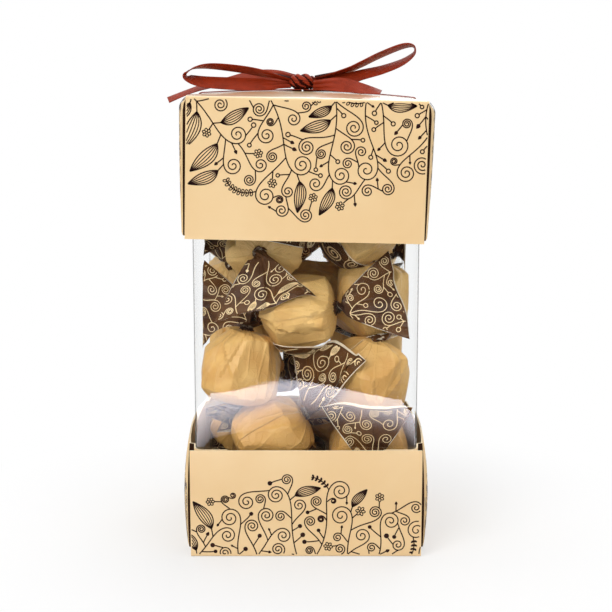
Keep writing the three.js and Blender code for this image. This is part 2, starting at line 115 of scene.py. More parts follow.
class Bench:
    """Common handwork: selecting, adding sheets, thickening, joining and fitting to the frame."""

    @staticmethod
    def clear() -> None:
        """Leave edit mode and deselect everything."""
        if bpy.context.mode != "OBJECT":
            bpy.ops.object.mode_set(mode="OBJECT")
        bpy.ops.object.select_all(action="DESELECT")

    @staticmethod
    def pick(piece: Piece) -> None:
        """Make one piece the only selected and active one.

        Args:
            piece: the piece.
        """
        Bench.clear()
        piece.select_set(True)
        bpy.context.view_layer.objects.active = piece

    @staticmethod
    def choose(piece: Piece, kind: str, wanted: Callable[[object], bool]) -> None:
        """Open a piece for editing with some of its faces or edges selected.

        Args:
            piece: the piece.
            kind: FACE or EDGE.
            wanted: tells for each face or edge whether it is selected.
        """
        Bench.pick(piece)
        bpy.ops.object.mode_set(mode="EDIT")
        bpy.ops.mesh.select_mode(type=kind)
        bpy.ops.mesh.select_all(action="DESELECT")
        bpy.ops.object.mode_set(mode="OBJECT")
        for part in piece.data.polygons if kind == "FACE" else piece.data.edges:
            part.select = bool(wanted(part))
        bpy.ops.object.mode_set(mode="EDIT")

    @staticmethod
    def face_out(piece: Piece) -> None:
        """Turn the faces of a closed piece outwards.

        Args:
            piece: the piece.
        """
        Bench.pick(piece)
        bpy.ops.object.mode_set(mode="EDIT")
        bpy.ops.mesh.select_all(action="SELECT")
        bpy.ops.mesh.normals_make_consistent(inside=False)
        bpy.ops.object.mode_set(mode="OBJECT")

    @staticmethod
    def set_points(piece: Piece, points: Points, uv: Optional[Points] = None) -> None:
        """Move all points of a piece and lay its pattern.

        Args:
            piece: the piece.
            points: the places of its points, in millimetres.
            uv: the pattern places of its points, or none.
        """
        piece.data.vertices.foreach_set("co", (points.reshape(-1, 3) * MM).astype(np.float32).ravel())
        if uv is not None:
            corners = np.empty(len(piece.data.loops), np.int32)
            piece.data.loops.foreach_get("vertex_index", corners)
            places = uv.reshape(-1, 2)[corners].astype(np.float32).ravel()
            piece.data.uv_layers[0].data.foreach_set("uv", places)
        piece.data.update()

    @staticmethod
    def sheet(name: str, grid: Points, uv: Optional[Points] = None) -> Piece:
        """Add a grid and lay it on a table of points.

        Args:
            name: name of the piece.
            grid: rows by columns of points, in millimetres.
            uv: rows by columns of pattern places, or none.

        Returns:
            The open sheet.
        """
        rows, columns = grid.shape[:2]
        Bench.clear()
        bpy.ops.mesh.primitive_grid_add(x_subdivisions=columns - 1, y_subdivisions=rows - 1, size=1)
        piece = bpy.context.object
        piece.name = piece.data.name = name
        Bench.set_points(piece, grid, uv)
        return piece

    @staticmethod
    def thicken(piece: Piece, thickness: float, materials: Sequence[Material], offset: float = -1.0) -> None:
        """Dress an open sheet and give it its wall.

        Args:
            piece: the sheet.
            thickness: wall, in millimetres.
            materials: one for all, or those of the near side, the far side and the rim.
            offset: -1 grows it behind the sheet, 0 to both sides.
        """
        Bench.dress(piece, materials)
        Bench.pick(piece)
        bpy.ops.object.modifier_add(type="SOLIDIFY")
        wall = piece.modifiers[-1]
        wall.thickness = thickness * MM
        wall.offset = offset
        wall.material_offset = 1
        wall.material_offset_rim = 2
        bpy.ops.object.modifier_apply(modifier=wall.name)

    @staticmethod
    def shade(piece: Piece, degrees: float) -> None:
        """Shade a piece smooth, with edges sharper than an angle kept."""
        Bench.pick(piece)
        bpy.ops.object.shade_smooth_by_angle(angle=math.radians(degrees))

    @staticmethod
    def join(name: str, pieces: Sequence[Piece]) -> Piece:
        """Join pieces into one.

        Args:
            name: name of the joined piece.
            pieces: the pieces, of which the first one stays.

        Returns:
            The joined piece.
        """
        Bench.pick(pieces[0])
        for piece in pieces[1:]:
            piece.select_set(True)
        bpy.ops.object.join()
        pieces[0].name = pieces[0].data.name = name
        return pieces[0]

    @staticmethod
    def dress(piece: Piece, materials: Sequence[Material]) -> None:
        """Put materials on a piece.

        Args:
            piece: the piece.
            materials: the materials, in slot order.
        """
        piece.data.materials.clear()
        for material in materials:
            piece.data.materials.append(material)

    @staticmethod
    def fit(piece: Piece, body: Body, slot: Slot, nodes: Sequence[str] = ()) -> None:
        """Tie a finished piece to the frame.

        Args:
            piece: the piece.
            body: the body that it moves with.
            slot: the material slot that it takes its finish from; not used.
            nodes: the nodes of the frame that it stands for.
        """
        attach(piece, body.value)
        if nodes:
            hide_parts(*nodes)
        log.info("%s rides on %s with %d faces", piece.name, body.value, len(piece.data.polygons))


class NodeDesk:
    """A short hand for laying out a node tree."""

    def __init__(self, tree: Tree) -> None:
        """Start with an empty tree."""
        self.tree = tree
        tree.nodes.clear()

    def add(self, kind: str, **settings: object) -> Node:
        """Add a node and set its own properties.

        Args:
            kind: the node's type name without its prefix.
            **settings: properties of the node.

        Returns:
            The node.
        """
        node = self.tree.nodes.new(kind if kind.startswith("Node") else f"ShaderNode{kind}")
        for key, value in settings.items():
            setattr(node, key, value)
        return node

    def put(self, node: Node, **values: object) -> Node:
        """Set or link a node's inputs, by name with underscores for spaces, or by i and number.

        Args:
            node: the node.
            **values: plain values, or sockets to link from.

        Returns:
            The node.
        """
        for key, value in values.items():
            plug = node.inputs[int(key[1:])] if key[1:].isdigit() else node.inputs[key.replace("_", " ")]
            if isinstance(value, Socket):
                self.tree.links.new(value, plug)
            else:
                plug.default_value = value
        return node

    def math(self, operation: str, first: object, second: object = 0.0, third: object = 0.5) -> Socket:
        """Work out one sum of up to three values or sockets."""
        return self.put(self.add("Math", operation=operation), i0=first, i1=second, i2=third).outputs[0]

    def mix(self, share: object, first: object, second: object) -> Socket:
        """Mix two colours by the share of the second one."""
        return self.put(self.add("Mix", data_type="RGBA"), i0=share, i6=first, i7=second).outputs[2]

    def ramp(self, value: object, low: float, high: float, start: float = 0.0, end: float = 1.0) -> Socket:
        """Map a value smoothly from between low and high to between start and end."""
        node = self.add("MapRange", interpolation_type="SMOOTHSTEP")
        return self.put(node, i0=value, i1=low, i2=high, i3=start, i4=end).outputs[0]

    def bump(self, height: Socket, strength: float, depth: float) -> Socket:
        """Turn a height, of a depth in millimetres, into a normal."""
        return self.put(self.add("Bump"), Strength=strength, Distance=depth * MM, Height=height).outputs[0]

    def place(self) -> Socket:
        """Give places in the piece's own coordinates."""
        return self.add("TexCoord").outputs["Object"]

    def pattern(self) -> Socket:
        """Give places on the piece's pattern."""
        return self.add("UVMap").outputs[0]

    def split(self, vector: Socket) -> list[Socket]:
        """Split places into their three ways."""
        return self.put(self.add("SeparateXYZ"), Vector=vector).outputs[:]

    def noise(self, place: Socket, scale: object, detail: float, roughness: float = 0.5) -> Node:
        """Lay soft clouds over a piece."""
        return self.put(self.add("TexNoise"), Vector=place, Scale=scale, Detail=detail, Roughness=roughness)

    def glow(self, colour: Colour, strength: object = 1.0) -> Node:
        """Add a light of its own to a material."""
        return self.put(self.add("Emission"), Color=colour, Strength=strength)

    def blend(self, share: object, first: Node, second: Node) -> Node:
        """Mix two shaders by the share of the second one."""
        return self.put(self.add("MixShader"), i0=share, i1=first.outputs[0], i2=second.outputs[0])

    def show(self, shader: Node) -> None:
        """Put a shader on the material's output in place of the main one."""
        out = next(n for n in self.tree.nodes if n.bl_idname == "ShaderNodeOutputMaterial")
        self.put(out, Surface=shader.outputs[0])

    def sight(self) -> tuple[Socket, Socket]:
        """Tell mirrored rays from those that see straight or through the film.

        Returns:
            1 on a mirrored ray, and 1 on a ray from the lens that was not mirrored.
        """
        path = self.add("LightPath").outputs
        bounced = self.math("GREATER_THAN", path["Glossy Depth"], 0.5)
        seen = self.math("MAXIMUM", path["Is Camera Ray"], path["Is Transmission Ray"])
        return bounced, self.math("MULTIPLY", seen, self.math("SUBTRACT", 1.0, bounced))


class Effects:
    """Node groups for effects that several finishes use, each built once."""

    @staticmethod
    def _start(name: str, inputs: dict[str, float],
               outputs: Sequence[str]) -> tuple[NodeDesk, list[Socket], Node]:
        """Open a group that takes a place and some values.

        Args:
            name: name of the group.
            inputs: names and usual sizes of the values.
            outputs: names of the values that it gives.

        Returns:
            The desk, the group's inputs with the place first, and its output node.
        """
        tree = bpy.data.node_groups.new(name, "ShaderNodeTree")
        tree.interface.new_socket("Place", in_out="INPUT", socket_type="NodeSocketVector")
        for plug, value in inputs.items():
            socket = tree.interface.new_socket(plug, in_out="INPUT", socket_type="NodeSocketFloat")
            socket.default_value = value
        for plug in outputs:
            tree.interface.new_socket(plug, in_out="OUTPUT", socket_type="NodeSocketFloat")
        desk = NodeDesk(tree)
        return desk, desk.add("NodeGroupInput").outputs[:3], desk.add("NodeGroupOutput")

    @staticmethod
    @cache
    def fibre() -> Tree:
        """Build the soft cloud and fine fibre of card and paper.

        Returns:
            A group with outputs Cloud, Fibre and Height.
        """
        inputs = {"Cloud Size": 40, "Fibre Size": 1800}
        desk, (place, large, fine), end = Effects._start("card_fibre", inputs, ["Cloud", "Fibre", "Height"])
        cloud = desk.noise(place, large, 3.0, 0.55).outputs[0]
        fibre = desk.noise(place, fine, 4.0, 0.7).outputs[0]
        height = desk.math("MULTIPLY_ADD", fibre, 0.7, desk.math("MULTIPLY", cloud, 0.3))
        desk.put(end, i0=cloud, i1=fibre, i2=height)
        return desk.tree

    @staticmethod
    @cache
    def creases() -> Tree:
        """Build the net of sharp creases in handled paper and film.

        Returns:
            A group with outputs Line, 1 on a crease, and Height.
        """
        inputs = {"Size": 90, "Width": 0.06}
        desk, (place, size, width), end = Effects._start("paper_creases", inputs, ["Line", "Height"])
        bend = desk.noise(place, desk.math("MULTIPLY", size, 0.6), 2.0).outputs[1]
        shift = desk.add("VectorMath", operation="MULTIPLY_ADD")
        bent = desk.put(shift, i0=bend, i1=(0.004, 0.004, 0.004), i2=place).outputs[0]
        edge, tilt = (desk.put(desk.add("TexVoronoi", feature=kind), Vector=bent, Scale=size).outputs[0]
                      for kind in ("DISTANCE_TO_EDGE", "F1"))
        line = desk.math("SUBTRACT", 1.0, desk.math("MINIMUM", desk.math("DIVIDE", edge, width), 1.0))
        desk.put(end, i0=line, i1=desk.math("MULTIPLY_ADD", line, 0.5, tilt))
        return desk.tree

    @staticmethod
    @cache
    def ribs() -> Tree:
        """Build the fine ribs of woven ribbon, along the first pattern way.

        Returns:
            A group with outputs Rib, 1 on a rib's back, and Height.
        """
        inputs = {"Pitch": 0.4, "Thread": 0.12}
        desk, (place, pitch, fine), end = Effects._start("woven_ribs", inputs, ["Rib", "Height"])
        along, across, _ = desk.split(place)
        turn = desk.math("MULTIPLY", desk.math("DIVIDE", along, pitch), math.pi)
        rib = desk.math("ABSOLUTE", desk.math("SINE", turn))
        thread = desk.math("SINE", desk.math("MULTIPLY", desk.math("DIVIDE", across, fine), TURN))
        desk.put(end, i0=rib, i1=desk.math("MULTIPLY_ADD", thread, 0.12, rib))
        return desk.tree


@dataclass(frozen=True)
class Finish:
    """A finish that is made into one material."""

    name: str

    def desk(self) -> tuple[Material, NodeDesk, Node]:
        """Open the material.

        Returns:
            The material, its desk and its main shader, already on the output.
        """
        material = bpy.data.materials.new(self.name)
        material.use_nodes = True
        desk = NodeDesk(material.node_tree)
        shader = desk.add("BsdfPrincipled")
        desk.put(desk.add("OutputMaterial"), Surface=shader.outputs[0])
        return material, desk, shader

    @staticmethod
    def effect(desk: NodeDesk, tree: Tree, **values: object) -> Sequence[Socket]:
        """Place a shared effect with its inputs, and give its outputs."""
        return desk.put(desk.add("Group", node_tree=tree), **values).outputs

    @staticmethod
    def fibre(desk: NodeDesk, place: Socket, cloud: float, fine: float) -> Sequence[Socket]:
        """Place the fibre of card and paper by its cloud size and its fibre size."""
        return Finish.effect(desk, Effects.fibre(), Place=place, Cloud_Size=cloud, Fibre_Size=fine)


@dataclass(frozen=True)
class CardFinish(Finish):
    """Coated card: a warm cream print with faint clouds, fibre and a satin varnish.

    The fold is the band of depths in millimetres, with its soft ends, inside a flute, where painted shade
    darkens the card.
    """

    light: Colour
    deep: Colour
    roughness: float = 0.36
    varnish: float = 0.9
    gloss: float = 0.5
    fold: Optional[tuple[float, float, float, float]] = None
    flute_shade_tone: Colour = (0.03, 0.011, 0.004, 1.0)

    def make(self) -> Material:
        """Build the material.

        Returns:
            The material.
        """
        material, desk, shader = self.desk()
        place = desk.place()
        fibre = self.fibre(desk, place, 28.0, 2600.0)
        tone = desk.math("MULTIPLY_ADD", fibre["Fibre"], 0.25, desk.ramp(fibre["Cloud"], 0.3, 0.7, 0.0, 0.75))
        rough = desk.ramp(fibre["Fibre"], 0.3, 0.7, self.roughness - 0.04, self.roughness + 0.06)
        colour = desk.mix(tone, self.light, self.deep)
        # painted shade: over the fold band of depths the card is mixed towards a near-black brown
        if self.fold:
            depth = desk.math("ABSOLUTE", desk.split(place)[1])
            start, full, last, end = (edge * MM for edge in self.fold)
            near = desk.math("MULTIPLY", desk.ramp(depth, start, full), desk.ramp(depth, last, end, 1.0, 0.0))
            colour = desk.mix(near, colour, self.flute_shade_tone)
        desk.put(shader, Base_Color=colour, Roughness=rough, Normal=desk.bump(fibre["Height"], 0.25, 0.05),
                 Coat_Weight=self.varnish, Coat_Roughness=0.12, Specular_IOR_Level=self.gloss)
        return material


@dataclass(frozen=True)
class InkFinish(Finish):
    """Printed line: one dark or pale ink with a slight unevenness."""

    ink: Colour
    thin: Colour
    roughness: float = 0.42

    def make(self) -> Material:
        """Build the material.

        Returns:
            The material.
        """
        material, desk, shader = self.desk()
        fibre = self.fibre(desk, desk.place(), 160.0, 3000.0)
        patch = desk.ramp(fibre["Cloud"], 0.45, 0.75)
        desk.put(shader, Base_Color=desk.mix(patch, self.ink, self.thin), Roughness=self.roughness,
                 Specular_IOR_Level=0.2, Normal=desk.bump(fibre["Height"], 0.15, 0.03))
        return material


@dataclass(frozen=True)
class FilmFinish(Finish):
    """Clear film: see-through, glossy, with painted shade making it a little darker along its pressed folds.
    """

    tint: Colour
    fold: Colour
    corner: float
    reach: float
    fade: float = 0.4

    def make(self) -> Material:
        """Build the material; lamps shine through it, and edge on it is clear.

        Returns:
            The material.
        """
        material, desk, shader = self.desk()
        place = desk.place()
        x, y = (desk.math("ABSOLUTE", part) for part in desk.split(place)[:2])
        low = (self.corner - self.reach) * MM
        # painted shade: the base colour goes grey along the four upright folds, standing in for their dark
        # edge lines
        fold = desk.ramp(desk.math("MINIMUM", x, y), low, low + self.fade * MM)
        scuff = self.fibre(desk, place, 30.0, 500.0)
        desk.put(shader, Base_Color=desk.mix(fold, self.tint, self.fold), Transmission_Weight=1.0, IOR=1.5,
                 Roughness=desk.ramp(scuff["Cloud"], 0.4, 0.8, 0.015, 0.05))
        through = desk.add("BsdfTransparent")
        lit = desk.blend(desk.add("LightPath").outputs["Is Shadow Ray"], shader, through)
        edge_on = desk.ramp(desk.add("LayerWeight").outputs["Facing"], 0.74, 0.9)
        desk.show(desk.blend(edge_on, lit, through))
        return material


@dataclass(frozen=True)
class RibbonFinish(Finish):
    """Satin ribbon with fine cross ribs, painted shade in the furrows between them, and a soft sheen."""

    light: Colour
    deep: Colour
    gloss: float
    pitch: float = 0.42
    thread: float = 0.16

    def make(self) -> Material:
        """Build the material; the pattern follows the ribbon in millimetres.

        Returns:
            The material.
        """
        material, desk, shader = self.desk()
        place = desk.pattern()
        ribs = self.effect(desk, Effects.ribs(), Place=place, Pitch=self.pitch, Thread=self.thread)
        cloud = desk.ramp(self.fibre(desk, place, 0.18, 4.0)["Cloud"], 0.25, 0.65, 0.7, 1.0)
        # painted shade: the furrows between ribs are mixed towards the deep colour; the cloud adds random
        # tone
        tone = desk.math("MULTIPLY", desk.ramp(ribs["Rib"], 0.15, 0.8), cloud)
        desk.put(shader, Base_Color=desk.mix(tone, self.deep, self.light), Specular_IOR_Level=self.gloss,
                 Roughness=desk.ramp(ribs["Rib"], 0.0, 1.0, 0.6, 0.42),
                 Normal=desk.bump(ribs["Height"], 0.5, 0.08))
        return material


@dataclass(frozen=True)
class WrapperFinish(Finish):
    """Waxed paper: cream round the truffle, with painted shade making it deeper gold low in the box, dark
    brown from the twist outwards.
    """

    cream: Colour
    gold: Colour
    brown: Colour
    umber: Colour
    border: float
    border_wave: float = 0.4
    painted_shade_heights: tuple[float, float] = (0.035, 0.115)

    def make(self) -> Material:
        """Build the material; the second pattern way runs along the wrapper in millimetres.

        Returns:
            The material.
        """
        material, desk, shader = self.desk()
        place, pattern = desk.place(), desk.pattern()
        fibre = self.fibre(desk, place, 70.0, 2400.0)
        long = desk.put(desk.add("Mapping"), Vector=pattern, Scale=(0.001, 0.0004, 0.0)).outputs[0]
        crease = self.effect(desk, Effects.creases(), Place=long, Size=110.0, Width=0.07)
        small = self.effect(desk, Effects.creases(), Place=place, Size=240.0, Width=0.05)
        wave = desk.add("TexWave", wave_type="BANDS", bands_direction="X", wave_profile="SIN")
        wave = desk.put(wave, Vector=pattern, Scale=0.055, Distortion=3.0, Detail=2.0).outputs[1]
        edge = desk.math("MULTIPLY_ADD", wave, self.border_wave, self.border - self.border_wave / 2)
        brown = desk.math("GREATER_THAN", desk.math("ABSOLUTE", desk.split(pattern)[1]), edge)
        # painted shade: paper low in the box is mixed towards gold, darker towards the bottom; the cloud adds
        # random tone
        low = desk.ramp(desk.split(place)[2], *self.painted_shade_heights, 0.9, 0.1)
        share = desk.math("MULTIPLY_ADD", desk.ramp(fibre["Cloud"], 0.3, 0.7), 0.5, low)
        pale = desk.mix(desk.math("MINIMUM", share, 1.0), self.cream, self.gold)
        pale = desk.mix(desk.math("MULTIPLY", crease["Line"], 0.12), pale, self.cream)
        dark = desk.mix(desk.ramp(fibre["Cloud"], 0.35, 0.7), self.brown, self.umber)
        height = desk.math("MULTIPLY_ADD", small["Height"], 0.35, crease["Height"])
        desk.put(shader, Base_Color=desk.mix(brown, pale, dark), Normal=desk.bump(height, 0.6, 0.7),
                 Roughness=desk.ramp(fibre["Fibre"], 0.3, 0.7, 0.32, 0.44),
                 Coat_Weight=0.06, Coat_Roughness=0.2, Specular_IOR_Level=0.28)
        return material


@dataclass(frozen=True)
class PlainPaperFinish(Finish):
    """The unprinted back of a wrapper."""

    light: Colour
    deep: Colour

    def make(self) -> Material:
        """Build the material.

        Returns:
            The material.
        """
        material, desk, shader = self.desk()
        place = desk.place()
        cloud = self.fibre(desk, place, 70.0, 2400.0)["Cloud"]
        crease = self.effect(desk, Effects.creases(), Place=place, Size=120.0, Width=0.05)
        desk.put(shader, Base_Color=desk.mix(cloud, self.light, self.deep), Roughness=0.4,
                 Normal=desk.bump(crease["Height"], 0.3, 0.4))
        return material


@dataclass(frozen=True)
class ChocolateFinish(Finish):
    """A truffle's dark shell with a dusting of cocoa."""

    dark: Colour
    dust: Colour

    def make(self) -> Material:
        """Build the material.

        Returns:
            The material.
        """
        material, desk, shader = self.desk()
        fibre = self.fibre(desk, desk.place(), 220.0, 1500.0)
        dust, rough = (desk.ramp(fibre["Cloud"], 0.4, 0.65, *ends) for ends in ((0.0, 1.0), (0.4, 0.85)))
        desk.put(shader, Base_Color=desk.mix(dust, self.dark, self.dust), Roughness=rough,
                 Normal=desk.bump(fibre["Height"], 0.6, 0.4))
        return material


@dataclass(frozen=True)
class FloorFinish(Finish):
    """White floor that keeps the shadow, looks white to the lens and through the film, and mirrors dark."""

    white: Colour
    lift: float
    worn: Colour = (0.8, 0.8, 0.8, 1.0)
    dim: Colour = (0.03, 0.03, 0.03, 1.0)
    near: float = 0.06
    far: float = 0.16
    front: tuple[float, float] = (-0.06, -0.09)

    def make(self) -> Material:
        """Build the material.

        Returns:
            The material.
        """
        material, desk, shader = self.desk()
        place = desk.place()
        cloud = desk.math("MULTIPLY", self.fibre(desk, place, 6.0, 700.0)["Cloud"], 0.02)
        desk.put(shader, Base_Color=desk.mix(cloud, self.white, self.worn), Roughness=0.9)
        bounced, seen = desk.sight()
        away = desk.put(desk.add("VectorMath", operation="LENGTH"), i0=place).outputs["Value"]
        lift = desk.math("MULTIPLY", seen, desk.ramp(away, self.near, self.far, self.lift, 1.0))
        lifted = desk.blend(lift, shader, desk.glow(WHITE))
        ahead = desk.math("MULTIPLY", bounced, desk.ramp(desk.split(place)[1], *self.front))
        desk.show(desk.blend(ahead, lifted, desk.glow(self.dim)))
        return material


@dataclass(frozen=True)
class GlowFinish(Finish):
    """A lit white sheet that only reflections see, brightest along its far edge."""

    strength: tuple[float, float]
    tone: Colour
    half: float = 60.0
    stretch: tuple[float, float] = (0.72, 1.2)
    fade: tuple[float, float] = (0.12, 0.95)

    def make(self) -> Material:
        """Build the material; the second pattern way runs from the far edge to the near one.

        Returns:
            The material.
        """
        material, desk, shader = self.desk()
        across, along, _ = desk.split(desk.pattern())
        near = desk.math("MULTIPLY", along, desk.ramp(across, -self.half, self.half, *self.stretch))
        desk.show(desk.glow(self.tone, desk.ramp(near, *self.fade, *self.strength)))
        desk.tree.nodes.remove(shader)
        return material


class Finishes:
    """Every material of the object, made once."""

    def __init__(self) -> None:
        """Make the materials."""
        cream = srgb(243, 211, 160), srgb(238, 201, 146)
        # depths of the painted shade band that darkens the side panels inside their flutes
        flute = (32.9, 33.2, 34.6, 36.0)
        self.card = CardFinish("cream_card", *cream).make()
        self.side_card = CardFinish("side_card", *cream, 0.7, 0.0, 0.08, flute).make()
        plain = srgb(236, 208, 165), srgb(228, 196, 150)
        self.card_back = CardFinish("plain_card", *plain, 0.6, 0.0, 0.3).make()
        self.card_edge = CardFinish("cut_card", srgb(250, 232, 196), srgb(244, 220, 178), 0.7, 0.0).make()
        self.ink = InkFinish("brown_ink", srgb(42, 16, 10), srgb(56, 26, 16)).make()
        self.pale_ink = InkFinish("pale_ink", srgb(240, 214, 165), srgb(226, 192, 136)).make()
        self.film = FilmFinish("clear_film", srgb(252, 253, 253), srgb(120, 110, 106), 41.5, 0.55).make()
        bright = RibbonFinish("rust_satin", srgb(176, 57, 22), srgb(52, 12, 5), 0.16).make()
        # painted shade: a darker copy of the satin for the ribbons' far sides and the knot's grooves and
        # undersides
        shade_satin = RibbonFinish("dull_satin", srgb(62, 11, 5), srgb(26, 5, 3), 0.06).make()
        self.satin = [bright, shade_satin, bright]
        self.wrapper = WrapperFinish("printed_wrapper", srgb(238, 200, 130), srgb(200, 152, 84),
                                     srgb(92, 56, 20), srgb(60, 32, 12), 14.4).make()
        self.paper_back = PlainPaperFinish("plain_wrapper", srgb(240, 228, 206), srgb(226, 208, 178)).make()
        self.chocolate = ChocolateFinish("cocoa_chocolate", srgb(52, 26, 14), srgb(98, 62, 40)).make()


@dataclass
class Stroke:
    """A pen line in pattern millimetres."""

    points: Points
    width: float


@dataclass
class Site:
    """A place where something can grow, its direction and the hand that it turns to."""

    point: Points
    heading: float
    hand: int


@dataclass
class Motif:
    """One drawn thing: its lines, its filled spots and where more can grow from it."""

    strokes: list[Stroke] = field(default_factory=list)
    blots: list[Points] = field(default_factory=list)
    sites: list[Site] = field(default_factory=list)

    def points(self) -> Points:
        """Gather all points of its lines and spots."""
        return np.concatenate([s.points for s in self.strokes] + self.blots)


class Growth(Enum):
    """What can grow on a stem, by the name of the method that draws it."""

    CURL = "curl"
    BRANCH = "branch"
    BERRY = "berry"
    BUD = "bud"
    LEAF = "leaf"
    SPRIG = "sprig"
    BLOSSOM = "blossom"
    PLUME = "plume"


def way(heading: float) -> Points:
    """Give the unit direction of a heading."""
    return np.array([math.cos(heading), math.sin(heading)])


def pen_path(start: Points, heading: float, length: float, bend: float, finish: float,
             power: float) -> Points:
    """Draw a line whose bend changes along it.

    Args:
        start: first point.
        heading: first direction.
        length: length of the line.
        bend: bend at the start, one over its radius.
        finish: bend at the end.
        power: how late the bend changes.

    Returns:
        The line's points.
    """
    count = max(int(length / 0.3), 4)
    shares = (np.arange(count) + 0.5) / count
    turns = heading + np.cumsum(bend + (finish - bend) * shares ** power) * length / count
    steps = np.stack([np.cos(turns), np.sin(turns)], 1) * length / count
    return np.concatenate([[start], start + np.cumsum(steps, 0)])


def end_heading(path: Points) -> float:
    """Give the direction at the end of a line."""
    step = path[-1] - path[-2]
    return math.atan2(step[1], step[0])


def loop(middle: Points, heading: float, length: float, width: float, count: int) -> Points:
    """Draw a closed oval that starts at a point and lies along a heading.

    Args:
        middle: where it starts and ends.
        heading: direction of its long way.
        length: its length.
        width: half of its width.
        count: number of points, first and last alike.

    Returns:
        The oval's points.
    """
    along, across = way(heading), way(heading + math.pi / 2)
    turn = np.linspace(0, 2 * math.pi, count)
    return middle + np.outer((1 - np.cos(turn)) / 2 * length, along) + np.outer(np.sin(turn) * width, across)


